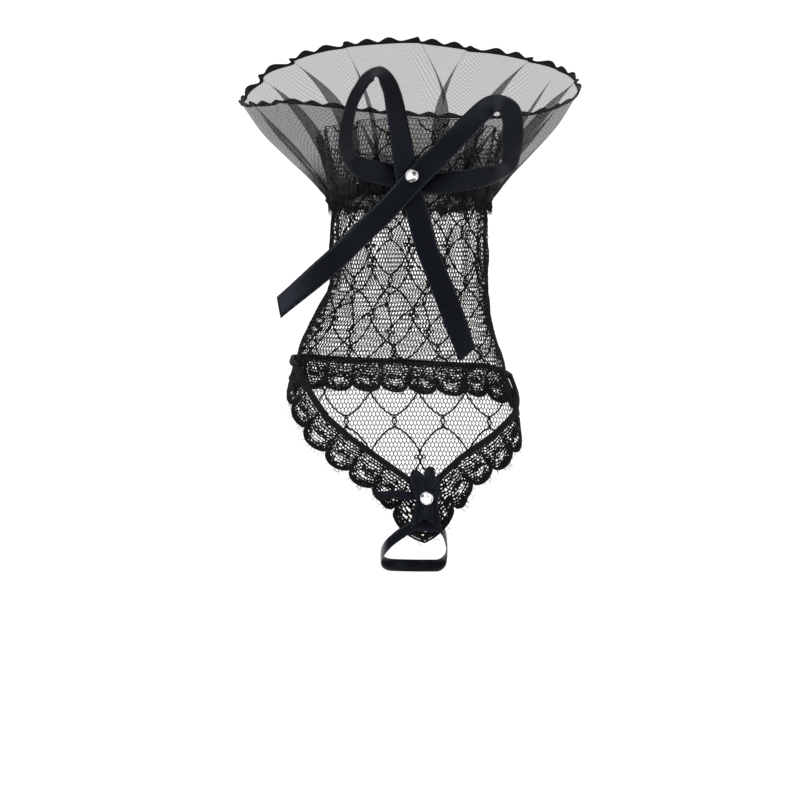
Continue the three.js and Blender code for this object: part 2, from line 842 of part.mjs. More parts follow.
// The ribbon loop for the middle finger, higher in front and lower behind the finger.
function makeLoop() {
  const radius = (loopInnerWidth + ribbonWall) / 2;
  const place = (column, row) => {
    const turn = column / loopSteps;
    const angle = fullTurn * turn;
    const half = (loopRibbonWidth / 2) * (row === 0 ? 1 : -1);
    const drop = loopBackDrop * readTable(loopFalls, "turn", "fall", turn);
    return new THREE.Vector3(
      radius * Math.sin(angle),
      radius * (1 - Math.cos(angle)),
      half - drop,
    );
  };
  return clothSheet({ columns: loopSteps, rows: 2, place, wall: ribbonWall, joined: true });
}

const blackNet = new THREE.MeshStandardMaterial({ color: "#121011", roughness: 0.85, metalness: 0 });
const blackTulle = new THREE.MeshStandardMaterial({ color: "#4a4947", roughness: 0.8, metalness: 0 });
const blackLace = new THREE.MeshStandardMaterial({ color: "#0c0a0b", roughness: 0.8, metalness: 0 });
const blackElastic = new THREE.MeshStandardMaterial({ color: "#0f0f10", roughness: 0.7, metalness: 0 });
const blackBraid = new THREE.MeshStandardMaterial({ color: "#0a0a0b", roughness: 0.75, metalness: 0 });
const blackSatin = new THREE.MeshStandardMaterial({ color: "#10141c", roughness: 0.38, metalness: 0 });
const crystal = new THREE.MeshStandardMaterial({ color: "#e9edf2", roughness: 0.05, metalness: 0 });

// A named piece of the cuff.
function makePiece(name, geometry, material) {
  const piece = new THREE.Mesh(geometry, material);
  piece.name = name;
  return piece;
}

const hemFront = sleevePoint(hemPointShare, -sleeveReach, 0);
const tipBowBack = hemFront.y - clothWall / 2 - layerGap - clothWall - layerGap;
const tipBowSpot = new THREE.Vector3(
  hemFront.x + tipBowAside,
  tipBowBack,
  hemFront.z - tipBowDrop,
);

const bowStone = makePiece("bow_stone", makeStone(), crystal);
const knotDepth = bowClearance + 2 * bowLayerStep + ribbonWall / 2 + stoneSeat;
bowStone.rotation.x = Math.PI;
bowStone.position.set(bowAside, frontAt(bowHeight) - knotDepth, bowHeight);

const tipBow = makePiece("tip_bow", makeTipBow(), blackSatin);
tipBow.position.copy(tipBowSpot);

const tipStone = makePiece("tip_stone", makeStone(), crystal);
tipStone.rotation.x = Math.PI;
tipStone.position.set(tipBowSpot.x, tipBowSpot.y - tipBowWall - layerGap, tipBowSpot.z);

const fingerLoop = makePiece("finger_loop", makeLoop(), blackSatin);
const loopFront = sleevePoint(0, -sleeveReach - loopDrop, 0).y + clothWall / 2 + layerGap;
fingerLoop.position.set(loopAside, loopFront + ribbonWall / 2, -sleeveReach - loopDrop);

const cuff = new THREE.Group();
cuff.add(
  makePiece("lace_sleeve", makeSleeve(), blackNet),
  makePiece("wrist_elastic", makeElastic(), blackElastic),
  makePiece("tulle_ruffle", makeRuffle(), blackTulle),
  makePiece("ruffle_edging", makeEdging(), blackLace),
  makePiece("hem_trim", makeTrim(), blackLace),
  makePiece("hem_band", makeBand(), blackBraid),
  makePiece("bow_ribbon", makeBow(), blackSatin),
  bowStone,
  tipBow,
  tipStone,
  fingerLoop,
);

export default cuff;
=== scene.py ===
"""The visual model of a black lace cuff.

A net sleeve with a corded oval motif is gathered at its waist and ends in a frill, with a
flared tulle ruffle round it. A scalloped border and a narrow braid follow its pointed hem.
A ribbon bow sits on the gathers, and a small bow and a ribbon loop on the point.
"""
import logging
import math
from dataclasses import dataclass, field
from enum import Enum
from itertools import product

import bpy
import numpy as np
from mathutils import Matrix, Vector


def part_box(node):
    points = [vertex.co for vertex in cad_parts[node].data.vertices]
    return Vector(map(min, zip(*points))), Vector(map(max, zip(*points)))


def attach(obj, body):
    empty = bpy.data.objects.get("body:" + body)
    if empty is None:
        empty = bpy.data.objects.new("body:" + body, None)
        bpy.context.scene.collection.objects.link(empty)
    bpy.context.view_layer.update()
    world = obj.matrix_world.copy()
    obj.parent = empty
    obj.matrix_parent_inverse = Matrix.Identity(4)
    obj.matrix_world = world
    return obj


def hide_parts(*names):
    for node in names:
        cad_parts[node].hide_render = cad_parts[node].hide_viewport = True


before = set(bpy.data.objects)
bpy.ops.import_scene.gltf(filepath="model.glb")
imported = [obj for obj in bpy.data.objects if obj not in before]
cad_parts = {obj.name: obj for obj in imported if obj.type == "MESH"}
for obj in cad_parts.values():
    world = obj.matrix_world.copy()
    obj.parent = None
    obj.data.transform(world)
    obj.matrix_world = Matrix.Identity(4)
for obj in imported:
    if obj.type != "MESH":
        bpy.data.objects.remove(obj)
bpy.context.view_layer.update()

LOG = logging.getLogger("cuff")
MM = 0.001
BODY = "root"
TAU = 2 * math.pi


class Side(Enum):
    """Which half of the cuff a net piece covers."""

    BACK_OF_HAND = "front"
    PALM = "back"


# Sections of the sleeve below the gather line, as (down, swell, flatten, aside).
SLEEVE_SECTIONS = np.array([
    (0.0, 0.0, 0.0, 0.003),
    (0.13, 0.01, 0.16, -0.004),
    (0.27, 0.03, 0.32, -0.003),
    (0.38, 0.23, 0.47, -0.027),
    (0.49, 0.51, 0.6, -0.043),
    (0.6, 0.75, 0.68, -0.045),
    (0.7, 0.91, 0.74, -0.032),
    (1.0, 1.0, 0.87, -0.02),
    (1.2, 1.0, 1.0, -0.02),
])

# The frill above the elastic, as (up, flare).
FRILL_SECTIONS = np.array([(0.0, 0.0), (0.35, 0.4), (0.7, 0.75), (1.0, 1.0)])

# The hem's line, as (around, down).
HEM_LINE = np.array([
    (0.0, 0.951), (0.031, 1.0), (0.055, 0.958), (0.095, 0.887), (0.153, 0.812),
    (0.204, 0.733), (0.225, 0.66), (0.25, 0.6), (0.33, 0.545), (0.5, 0.52),
    (0.68, 0.515), (0.752, 0.534), (0.803, 0.573), (0.841, 0.672), (0.869, 0.752),
    (0.909, 0.822), (0.947, 0.877), (1.0, 0.951),
])

# How far the net's columns drift round the sleeve, as (millimetres up, share of the way round).
NET_DRIFT = np.array([
    (-112.0, 0.026), (-67.0, 0.027), (-56.0, 0.033), (-46.0, 0.03), (-35.0, 0.02),
    (-25.0, 0.0), (21.0, 0.0),
])

# How strong the gathers' pleats are below the gather line, as (down, strength).
PLEAT_FADE = np.array([(0.028, 0.0), (0.07, 0.7), (0.12, 1.0), (0.34, 0.0)])

# The ruffle's profile, as (up, flare, fold).
RUFFLE_PROFILE = np.array([
    (0.0, 0.0, 0.0), (0.13, 0.12, 0.12), (0.4, 0.44, 0.4), (0.7, 0.77, 0.45), (1.0, 1.0, 0.08),
])

# The height of the ruffle's rim, as (around, up).
RUFFLE_RIM = np.array([
    (0.0, 1.0), (0.063, 0.955), (0.143, 0.925), (0.229, 0.9), (0.36, 0.86), (0.5, 0.92),
    (0.62, 0.97), (0.7, 0.86), (0.771, 0.76), (0.833, 0.875), (0.931, 0.98), (1.0, 1.0),
])

# The ruffle's folds, as (around, spread, depth, sideways lean in millimetres, drift).
RUFFLE_FOLDS = np.array([
    (0.0, 0.013, 0.55, 5.0, 0.035),
    (0.071, 0.016, 1.0, -6.0, 0.004),
    (0.143, 0.014, 0.85, -7.0, -0.012),
    (0.182, 0.01, 0.4, -3.0, 0.0),
    (0.236, 0.017, 0.8, -8.0, 0.0),
    (0.3, 0.016, 0.6, 5.0, 0.0),
    (0.37, 0.018, 0.8, 6.0, 0.0),
    (0.44, 0.015, 0.5, -4.0, 0.0),
    (0.51, 0.018, 0.8, 6.0, 0.0),
    (0.58, 0.015, 0.6, -5.0, 0.0),
    (0.65, 0.017, 0.75, 6.0, 0.0),
    (0.715, 0.014, 0.6, -4.0, 0.0),
    (0.775, 0.012, 0.5, 4.0, 0.0),
    (0.81, 0.016, 0.9, 7.5, 0.0),
    (0.856, 0.016, 1.0, 8.5, 0.006),
    (0.923, 0.011, 0.35, 4.0, 0.0),
])

# The ruffle's small ripples, as (up, spread, size in millimetres, waves round, start).
RUFFLE_RIPPLES = np.array([
    (0.06, 0.2, 0.62, 46, 0.0), (0.06, 0.2, 0.372, 71, 2.0), (0.35, 0.3, 0.3, 31, 0.5),
])

# The edging's section, as (share of its reach, thickness in millimetres).
EDGING_SECTION = np.array([(0.0, 0.5), (0.25, 0.75), (0.5, 0.62), (0.75, 0.75), (1.0, 0.45)])

# The border's cords, as (name, thickness in millimetres, points as across -1 to 1 and depth).
BORDER_CORDS = (
    ("border_leaves", 0.8, np.array([(-0.42, 0.58), (-0.15, 0.49), (0.2, 0.47), (0.6, 0.6)])),
    ("border_stems", 0.6, np.array([(0.72, 0.04), (0.95, 0.3), (0.86, 0.6), (1.0, 1.0)])),
    ("border_hooks", 0.55, np.array([(-1.0, 0.98), (-0.9, 0.82), (-0.72, 0.68), (-0.5, 0.62)])),
    ("border_rings", 0.36, np.array([(-0.5, 0.72), (-0.2, 0.81), (0.25, 0.81), (0.52, 0.7)])),
)

# Uneven waves of the gathers' upper edge and of the lower one, as (seed, pleats round, size).
TOP_WAVES = ((3, 190, 0.8), (9, 60, 0.7))
LOW_WAVES = ((1, 70, 0.45), (2, 210, 0.35))

# How far the ribbon loop drops, as (share of the way round, share of its drop).
LOOP_FALLS = np.array([
    (0.0, 0.0), (0.13, 0.03), (0.22, 0.4), (0.3, 0.85), (0.38, 1.0), (0.62, 0.98), (0.75, 0.78),
    (0.86, 0.45), (0.91, 0.28), (1.0, 0.0),
])

# The bends of the bow's ribbon, as (is a tail, across, up, turn, lean, front, layer).
BOW_BENDS = np.array([
    (1, -0.772, -0.76, 101, 12, 0.1, 1),
    (1, -0.46, -0.49, 125, 0, 0.05, 1),
    (1, -0.31, -0.345, 131, 5, 0, 1.5),
    (1, -0.153, -0.197, 130, 0, 0, 2),
    (0, -0.012, -0.045, 131, 0, 0, 2),
    (0, 0.09, 0.055, 136, 0, 0, 2),
    (0, 0.219, 0.169, 138, 12, 0.1, 1.6),
    (0, 0.407, 0.348, 132, 20, 0.1, 1),
    (0, 0.505, 0.4, 90, 30, 0.15, 1),
    (0, 0.589, 0.348, 36, 12, 0.1, 1),
    (0, 0.603, 0.233, 14, 10, 0.1, 1),
    (0, 0.596, 0.117, 8, 34, 0.1, 1),
    (0, 0.545, 0.033, -50, 60, 0.3, 1),
    (0, 0.333, -0.014, -107, 25, 0.2, 0.3),
    (0, 0.09, -0.029, -105, 0, 0, 0),
    (0, -0.1, 0.018, -99, 0, 0, 0),
    (0, -0.275, 0.047, -100, 30, 0.1, 0.4),
    (0, -0.37, 0.093, -122, 52, 0.25, 0.8),
    (0, -0.399, 0.204, -160, 47, 0.15, 1),
    (0, -0.374, 0.345, -156, 45, 0.15, 1),
    (0, -0.304, 0.485, -184, 47, 0.2, 1),
    (0, -0.202, 0.565, -284, 48, 0.25, 1),
    (0, -0.131, 0.486, -333, 40, 0.2, 1),
    (0, -0.093, 0.342, -342, 32, 0.1, 1),
    (0, -0.054, 0.138, -345, 12, 0, 1),
    (0, -0.02, -0.039, -337, 0, 0, 1),
    (1, 0.028, -0.193, -351, 10, 0, 1),
    (1, 0.088, -0.417, -360, 0, 0, 0.6),
    (1, 0.185, -0.66, -351, 0, 0, 0.5),
    (1, 0.322, -1.033, -318, 14, 0.1, 0.5),
])

# The small bow's ears, as (lean in degrees, length, half width), in millimetres.
TIP_EARS = np.array([
    (-25, 9.4, 2.3), (7, 9.7, 2.0), (-43, 7.2, 1.7), (30, 7.8, 1.6), (-62, 5.2, 1.6), (62, 5.0, 1.6),
])

# The two hanging folds of the small bow's body, as (side, drop, swing), in millimetres.
TIP_FOLDS = np.array([(-1, 8.8, -1.0), (1, 9.6, 0.8)])

# A stone's rings from its seat up, as (share of its width, share of its height, turn in steps).
STONE_RINGS = ((1.0, 0.0, 0.0), (1.0, 0.28, 0.0), (0.8, 0.66, 0.5), (0.52, 1.0, 0.0))

# A flower knot's rings and a plain knot's, as (across, up, half width, half height), in millimetres.
FLOWER_RINGS = np.array([
    (1.15, 0, 0.4, 0.5), (-1.15, 0, 0.4, 0.5), (0, 1.45, 0.22, 0.42), (0, -1.45, 0.22, 0.42),
    (0, 0, 0.5, 0.75),
])
PLAIN_RINGS = np.array([(0, 0, 0.6, 0.95), (0, 1.5, 0.25, 0.4), (0, -1.5, 0.25, 0.4)])

# The steps of a cord that isn't quite even, from -1 to 1.
RAGGED_STEPS = np.array([0, 1, -1, 1, -1, 0, 1, -1, 1, 0, -1, 1, -1, 0, 0])


def linear(hex_colour: str) -> tuple[float, float, float, float]:
    """Turn an sRGB hex colour into linear light.

    Args:
        hex_colour: Six hex digits after a hash sign.

    Returns:
        Red, green, blue and an alpha of one.
    """
    parts = [int(hex_colour[i:i + 2], 16) / 255 for i in (1, 3, 5)]
    light = [c / 12.92 if c <= 0.04045 else ((c + 0.055) / 1.055) ** 2.4 for c in parts]
    return (light[0], light[1], light[2], 1.0)


def add_node(tree: bpy.types.NodeTree, kind: str, settings: dict | None = None,
             inputs: dict | None = None) -> bpy.types.Node:
    """Add one node with its settings, values and links.

    Args:
        tree: The tree that takes the node.
        kind: The node's type name.
        settings: Attribute names to values.
        inputs: Socket names or numbers to plain values or to output sockets to link.

    Returns:
        The new node.
    """
    node = tree.nodes.new(kind)
    for name, value in (settings or {}).items():
        setattr(node, name, value)
    for key, value in (inputs or {}).items():
        if isinstance(value, bpy.types.NodeSocket):
            tree.links.new(value, node.inputs[key])
        else:
            node.inputs[key].default_value = value
    return node


def math_node(tree: bpy.types.NodeTree, operation: str, *values: float | bpy.types.NodeSocket,
              clamp: bool = False) -> bpy.types.NodeSocket:
    """Add one step of arithmetic.

    Args:
        tree: The tree that takes the node.
        operation: The step's name in Blender.
        values: Plain values or sockets, in the step's order.
        clamp: Whether the result stays between 0 and 1.

    Returns:
        The result's socket.
    """
    settings = {"operation": operation, "use_clamp": clamp}
    return add_node(tree, "ShaderNodeMath", settings, dict(enumerate(values))).outputs[0]


def map_range(tree: bpy.types.NodeTree, value: bpy.types.NodeSocket, before: tuple[float, float],
              after: tuple[float, float] = (0.0, 1.0), smooth: bool = False) -> bpy.types.NodeSocket:
    """Stretch a value from one range onto another.

    Args:
        tree: The tree that takes the node.
        value: The value's socket.
        before: The range that the value has.
        after: The range that it gets.
        smooth: Whether it eases in and out.

    Returns:
        The result's socket.
    """
    settings = {"interpolation_type": "SMOOTHSTEP" if smooth else "LINEAR"}
    return add_node(tree, "ShaderNodeMapRange", settings, {
        "Value": value, "From Min": before[0], "From Max": before[1],
        "To Min": after[0], "To Max": after[1]}).outputs[0]


def noise(tree: bpy.types.NodeTree, vector: bpy.types.NodeSocket, scale: float, detail: float,
          roughness: float = 0.5) -> bpy.types.NodeSocket:
    """Add a cloudy texture and give its value's socket."""
    return add_node(tree, "ShaderNodeTexNoise", inputs={
        "Vector": vector, "Scale": scale, "Detail": detail, "Roughness": roughness}).outputs["Fac"]


def mix_colour(tree: bpy.types.NodeTree, share: bpy.types.NodeSocket,
               *colours: str | bpy.types.NodeSocket) -> bpy.types.NodeSocket:
    """Mix two colours by a share and give the result's socket."""
    first, second = (linear(c) if isinstance(c, str) else c for c in colours)
    return add_node(tree, "ShaderNodeMix", {"data_type": "RGBA"}, {
        "Factor": share, 6: first, 7: second}).outputs[2]


def bump(tree: bpy.types.NodeTree, height: bpy.types.NodeSocket, strength: float,
         depth_mm: float) -> bpy.types.NodeSocket:
    """Add a relief of a depth in millimetres and give its normal's socket."""
    return add_node(tree, "ShaderNodeBump", inputs={
        "Height": height, "Strength": strength, "Distance": depth_mm * MM}).outputs[0]


def open_material(name: str) -> tuple[bpy.types.Material, bpy.types.NodeTree]:
    """Make a material with an empty tree."""
    material = bpy.data.materials.new(name)
    material.use_nodes = True
    material.node_tree.nodes.clear()
    return material, material.node_tree


def close_material(tree: bpy.types.NodeTree, inputs: dict) -> None:
    """End a material's tree in one shader with the inputs that are named."""
    shader = add_node(tree, "ShaderNodeBsdfPrincipled", inputs=inputs)
    add_node(tree, "ShaderNodeOutputMaterial", inputs={"Surface": shader.outputs[0]})


def smooth_table(keys: np.ndarray, values: np.ndarray, at: np.ndarray) -> np.ndarray:
    """Read a table along a curve that never overshoots its rows.

    Args:
        keys: Rising keys of the rows.
        values: The rows' values.
        at: Where to read.

    Returns:
        The values there.
    """
    steps = np.diff(keys)
    slopes = np.diff(values) / steps
    tangents = np.concatenate([slopes[:1], np.zeros(len(slopes) - 1), slopes[-1:]])
    same = slopes[:-1] * slopes[1:] > 0
    before, after = slopes[:-1][same], slopes[1:][same]
    tangents[1:-1][same] = 2 * before * after / (before + after)
    at = np.clip(at, keys[0], keys[-1])
    row = np.clip(np.searchsorted(keys, at, side="right") - 1, 0, len(steps) - 1)
    t, step = (at - keys[row]) / steps[row], steps[row]
    return (values[row] * (1 + 2 * t) * (1 - t) ** 2 + tangents[row] * step * t * (1 - t) ** 2
            + values[row + 1] * t * t * (3 - 2 * t) + tangents[row + 1] * step * t * t * (t - 1))


def blend(low: float, high: float, share: np.ndarray) -> np.ndarray:
    """Go from low to high by a share."""
    return low + (high - low) * share


def wrap(share: np.ndarray) -> np.ndarray:
    """Bring a share of the way round into 0 to 1."""
    return share - np.floor(share)


class SectionField:
    """Rounded sections stacked over a range of levels and walked by arc length."""

    def __init__(self, levels: np.ndarray, sections: np.ndarray) -> None:
        """Measure every section.

        Args:
            levels: Rising levels.
            sections: A row of (half, front, back, aside, roundness) for each level.
        """
        corners, samples = 1440, 720
        angle = np.linspace(0, TAU, corners + 1)
        sine, cosine = np.sin(angle), np.cos(angle)
        self.levels = levels
        self.samples = samples
        self.girth = np.zeros(len(levels))
        self.points = np.zeros((len(levels), samples + 1, 2))
        for row, (half, front, back, aside, roundness) in enumerate(sections):
            power = 2 / roundness
            depth = np.where(cosine > 0, front, back)
            x = aside + half * np.sign(sine) * np.abs(sine) ** power
            y = -depth * np.sign(cosine) * np.abs(cosine) ** power
            length = np.concatenate([[0], np.cumsum(np.hypot(np.diff(x), np.diff(y)))])
            self.girth[row] = length[-1]
            even = np.linspace(0, length[-1], samples + 1)
            self.points[row] = np.stack([np.interp(even, length, x), np.interp(even, length, y)], 1)
        along = np.roll(self.points[:, :-1], -1, 1) - np.roll(self.points[:, :-1], 1, 1)
        along /= np.linalg.norm(along, axis=2, keepdims=True)
        outward = np.stack([along[..., 1], -along[..., 0]], 2)
        self.outward = np.concatenate([outward, outward[:, :1]], 1)

    def walk(self, around: np.ndarray, level: np.ndarray) -> tuple[np.ndarray, np.ndarray]:
        """Find points by a share of the way round and a level.

        Args:
            around: Shares of the way round.
            level: Levels, as many as the shares.

        Returns:
            The points and the directions outward, both in the plane.
        """
        row = np.clip(np.interp(level, self.levels, np.arange(len(self.levels))), 0,
                      len(self.levels) - 1.001)
        low = row.astype(int)
        up = (row - low)[:, None]
        spot = wrap(around) * self.samples
        left = np.minimum(spot.astype(int), self.samples - 1)
        side = (spot - left)[:, None]
        results = []
        for grid in (self.points, self.outward):
            bottom = grid[low, left] * (1 - side) + grid[low, left + 1] * side
            top = grid[low + 1, left] * (1 - side) + grid[low + 1, left + 1] * side
            results.append(bottom * (1 - up) + top * up)
        return results[0], results[1]


@dataclass
class HandForm:
    """The form that the worn cloth takes, with the sizes of the sleeve in millimetres."""

    wrist_width: float = 48.6
    wrist_depth: float = 39.6
    hand_width: float = 74.0
    hand_depth: float = 32.0
    reach: float = 92.4
    roundness: float = 2.3
    frill_height: float = 21.0
    frill_width: float = 58.4
    frill_depth: float = 48.0
    elastic_rise: float = 1.8
    elastic_drop: float = 2.6
    elastic_wall: float = 1.1
    cloth_wall: float = 1.0
    layer_gap: float = 0.3
    pleats: int = 24
    fine_pleats: int = 55
    fine_pleat: float = 0.35
    frill_pleat: float = 0.9
    gather_pleat: float = 0.45
    trim_depth: float = 10.2
    field: SectionField = field(init=False)

    def __post_init__(self) -> None:
        """Measure the sections and walk the hem."""
        levels = np.concatenate([
            np.linspace(-1.25 * self.reach, 0, 140), np.linspace(0.05, self.frill_height, 40)])
        self.field = SectionField(levels, self.sections(levels))
        steps = 2880
        self.point_share = HEM_LINE[np.argmax(HEM_LINE[:, 1]), 0]
        self.hem_around = self.point_share + np.linspace(0, 1, steps + 1)
        heights = self.hem_height(self.hem_around)
        line = self.cloth(self.hem_around, heights, np.zeros(steps + 1))
        gaps = np.linalg.norm(np.diff(line, axis=0), axis=1)
        self.hem_lengths = np.concatenate([[0], np.cumsum(gaps)])
        self.hem_length = float(self.hem_lengths[-1])

    def sections(self, heights: np.ndarray) -> np.ndarray:
        """Give the section's half width, depths, middle and roundness at each height."""
        down = -heights / self.reach
        keys = SLEEVE_SECTIONS[:, 0]
        swell = smooth_table(keys, SLEEVE_SECTIONS[:, 1], down)
        flatten = smooth_table(keys, SLEEVE_SECTIONS[:, 2], down)
        aside = smooth_table(keys, SLEEVE_SECTIONS[:, 3], down) * self.hand_width
        up = (heights - self.elastic_rise) / (self.frill_height - self.elastic_rise)
        flare = smooth_table(FRILL_SECTIONS[:, 0], FRILL_SECTIONS[:, 1], up)
        half = np.where(heights > 0, blend(self.wrist_width, self.frill_width, flare),
                        blend(self.wrist_width, self.hand_width, swell)) / 2
        depth = np.where(heights > 0, blend(self.wrist_depth, self.frill_depth, flare),
                         blend(self.wrist_depth, self.hand_depth, flatten)) / 2
        return np.stack([half, depth, depth, aside, np.full(len(heights), self.roundness)], 1)

    def hem_height(self, around: np.ndarray) -> np.ndarray:
        """Give the hem's height at shares of the way round."""
        return -self.reach * np.interp(wrap(around), HEM_LINE[:, 0], HEM_LINE[:, 1])

    def pleat(self, around: np.ndarray, height: np.ndarray) -> np.ndarray:
        """Give how far the gathers push the net out, in millimetres."""
        main = np.cos(TAU * around * self.pleats)
        fine = self.fine_pleat * np.cos(TAU * around * self.fine_pleats + 1.3)
        up = np.clip((height - self.elastic_rise) / (self.frill_height - self.elastic_rise), 0, 1)
        down = -height / self.reach
        fade = np.interp(down, PLEAT_FADE[:, 0], PLEAT_FADE[:, 1])
        rise = np.where(height > 0, up * self.frill_pleat, fade * self.gather_pleat)
        return rise * (main + fine)

    def cloth(self, around: np.ndarray, height: np.ndarray, outward: np.ndarray) -> np.ndarray:
        """Place points on the cloth, moved outward by a distance, in millimetres."""
        point, normal = self.field.walk(around, height)
        spot = point + normal * outward[:, None]
        return np.column_stack([spot, height])

    def net(self, around: np.ndarray, height: np.ndarray, outward: float = 0.0) -> np.ndarray:
        """Place points on the gathered net, moved outward by a distance."""
        return self.cloth(around, height, self.pleat(around, height) + outward)

    def hem(self, along: np.ndarray, below: np.ndarray, outward: np.ndarray) -> np.ndarray:
        """Place points below the hem, square to its line.

        Args:
            along: Shares of the hem's length from its point.
            below: Distances below the hem in millimetres.
            outward: Distances outward from the cloth.

        Returns:
            The points in millimetres.
        """
        def share(at: np.ndarray) -> np.ndarray:
            """Turn shares of the hem's length into shares of the way round."""
            turns = np.floor(at)
            spot = (at - turns) * self.hem_length
            return np.interp(spot, self.hem_lengths, self.hem_around) + turns

        window = self.trim_depth / self.hem_length / 2
        around, before, after = share(along), share(along - window), share(along + window)
        height = self.hem_height(around)
        girth = np.interp(height, self.field.levels, self.field.girth)
        run = (after - before) * girth
        rise = self.hem_height(after) - self.hem_height(before)
        span = np.hypot(run, rise)
        return self.cloth(around + below * rise / span / girth, height - below * run / span, outward)


def mesh_from(name: str, points: np.ndarray, faces: np.ndarray | list,
              edges: np.ndarray | None = None) -> bpy.types.Mesh:
    """Make a mesh from points in millimetres.

    Args:
        name: The mesh's name.
        points: Points in millimetres.
        faces: Faces as rows of point numbers.
        edges: Loose edges as rows of point numbers.

    Returns:
        The mesh in metres.
    """
    mesh = bpy.data.meshes.new(name)
    mesh.from_pydata((np.asarray(points) * MM).tolist(),
                     [] if edges is None else np.asarray(edges).tolist(),
                     faces.tolist() if isinstance(faces, np.ndarray) else faces)
    mesh.update()
    return mesh


def place(mesh: bpy.types.Mesh, name: str) -> bpy.types.Object:
    """Put a mesh into the scene as an object at the origin."""
    thing = bpy.data.objects.new(name, mesh)
    bpy.context.scene.collection.objects.link(thing)
    return thing


def sheet_faces(columns: int, rows: int, joined: bool) -> np.ndarray:
    """List the quads of a grid whose points run row by row inside each column."""
    cells = columns if joined else columns - 1
    column, row = np.meshgrid(np.arange(cells), np.arange(rows - 1), indexing="ij")
    here = (column * rows + row).ravel()
    after = (((column + 1) % columns) * rows + row).ravel()
    return np.stack([here, after, after + 1, here + 1], 1)


def walled(points: np.ndarray, wall: np.ndarray | float,
           joined: bool) -> tuple[np.ndarray, np.ndarray]:
    """Give a grid of points a thickness and close its edges.

    Args:
        points: Middle points as columns by rows by three.
        wall: Thickness in millimetres, one value or one for each point.
        joined: Whether the last column meets the first.

    Returns:
        The points and faces of a closed wall.
    """
    columns, rows, _ = points.shape
    if joined:
        along = np.roll(points, -1, 0) - np.roll(points, 1, 0)
    else:
        along = np.gradient(points, axis=0)
    across = np.gradient(points, axis=1)
    normal = np.cross(along, across)
    normal /= np.maximum(np.linalg.norm(normal, axis=2, keepdims=True), 1e-9)
    offset = normal * (np.broadcast_to(wall, (columns, rows))[..., None] / 2)
    both = np.concatenate([(points + offset).reshape(-1, 3), (points - offset).reshape(-1, 3)])
    count = columns * rows
    face = sheet_faces(columns, rows, joined)
    faces = [face, face[:, ::-1] + count]
    column = np.arange(columns if joined else columns - 1)
    after = (column + 1) % columns
    for row, flip in ((0, False), (rows - 1, True)):
        edge = np.stack([after * rows + row, column * rows + row, column * rows + row + count,
                         after * rows + row + count], 1)
        faces.append(edge[:, ::-1] if flip else edge)
    if not joined:
        row = np.arange(rows - 1)
        for start, flip in ((0, True), ((columns - 1) * rows, False)):
            edge = np.stack([start + row + 1, start + row, start + row + count,
                             start + row + 1 + count], 1)
            faces.append(edge[:, ::-1] if flip else edge)
    return both, np.concatenate(faces)


def face_outward(thing: bpy.types.Object) -> None:
    """Turn a closed mesh's faces so that they point out."""
    mesh = thing.data
    mesh.calc_loop_triangles()
    corners = np.zeros(len(mesh.vertices) * 3)
    mesh.vertices.foreach_get("co", corners)
    corners = corners.reshape(-1, 3)
    triangles = np.zeros(len(mesh.loop_triangles) * 3, dtype=int)
    mesh.loop_triangles.foreach_get("vertices", triangles)
    a, b, c = (corners[triangles.reshape(-1, 3)[:, i]] for i in range(3))
    if np.einsum("ij,ij->i", a, np.cross(b, c)).sum() < 0:
        mesh.flip_normals()


def set_uv(mesh: bpy.types.Mesh, uv: np.ndarray) -> None:
    """Store a UV for each point of a mesh on its corners."""
    layer = mesh.uv_layers.new(name="cloth")
    loops = np.zeros(len(mesh.loops), dtype=int)
    mesh.loops.foreach_get("vertex_index", loops)
    layer.data.foreach_set("uv", uv[loops].astype(np.float32).ravel())


def strip_uv(mesh: bpy.types.Mesh, steps: int, across: int) -> None:
    """Run a UV along and across each wall of a ribbon that walled made."""
    number = np.arange(len(mesh.vertices)) % (steps * across)
    set_uv(mesh, np.stack([number // across / (steps - 1), number % across / (across - 1)], 1))


def store(mesh: bpy.types.Mesh, name: str, values: np.ndarray) -> None:
    """Store a number, or a direction from three columns, for each point of a mesh."""
    kind, key = ("FLOAT_VECTOR", "vector") if values.ndim == 2 else ("FLOAT", "value")
    attribute = mesh.attributes.new(name, kind, "POINT")
    attribute.data.foreach_set(key, values.astype(np.float32).ravel())


def shade_smooth(mesh: bpy.types.Mesh) -> None:
    """Shade all faces smooth."""
    mesh.polygons.foreach_set("use_smooth", np.ones(len(mesh.polygons), dtype=bool))


def wall_piece(name: str, points: np.ndarray, wall: np.ndarray | float, joined: bool,
               material: bpy.types.Material) -> bpy.types.Object:
    """Make a piece from a grid of points and a thickness.

    Args:
        name: The piece's name.
        points: Middle points as columns by rows by three.
        wall: Thickness in millimetres, one value or one for each row.
        joined: Whether the last column meets the first.
        material: The piece's material.

    Returns:
        The finished piece, its faces outward.
    """
    both, faces = walled(points, wall, joined)
    mesh = mesh_from(name, both, faces)
    mesh.materials.append(material)
    made = place(mesh, name)
    face_outward(made)
    return made


def grid_of(x: np.ndarray, y: np.ndarray, z: np.ndarray) -> np.ndarray:
    """Put three grids of coordinates together as one grid of points."""
    return np.stack(np.broadcast_arrays(x, y, z), 2)


def ring_edges(count: int, start: int = 0) -> np.ndarray:
    """List the edges of one closed line of points."""
    ring = np.arange(count)
    return np.stack([start + ring, start + (ring + 1) % count], 1)


def path_edges(paths: int, steps: int) -> np.ndarray:
    """List the edges of open lines that have the same number of points each."""
    first = np.arange(paths)[:, None] * steps + np.arange(steps - 1)[None, :]
    return np.stack([first.ravel(), first.ravel() + 1], 1)


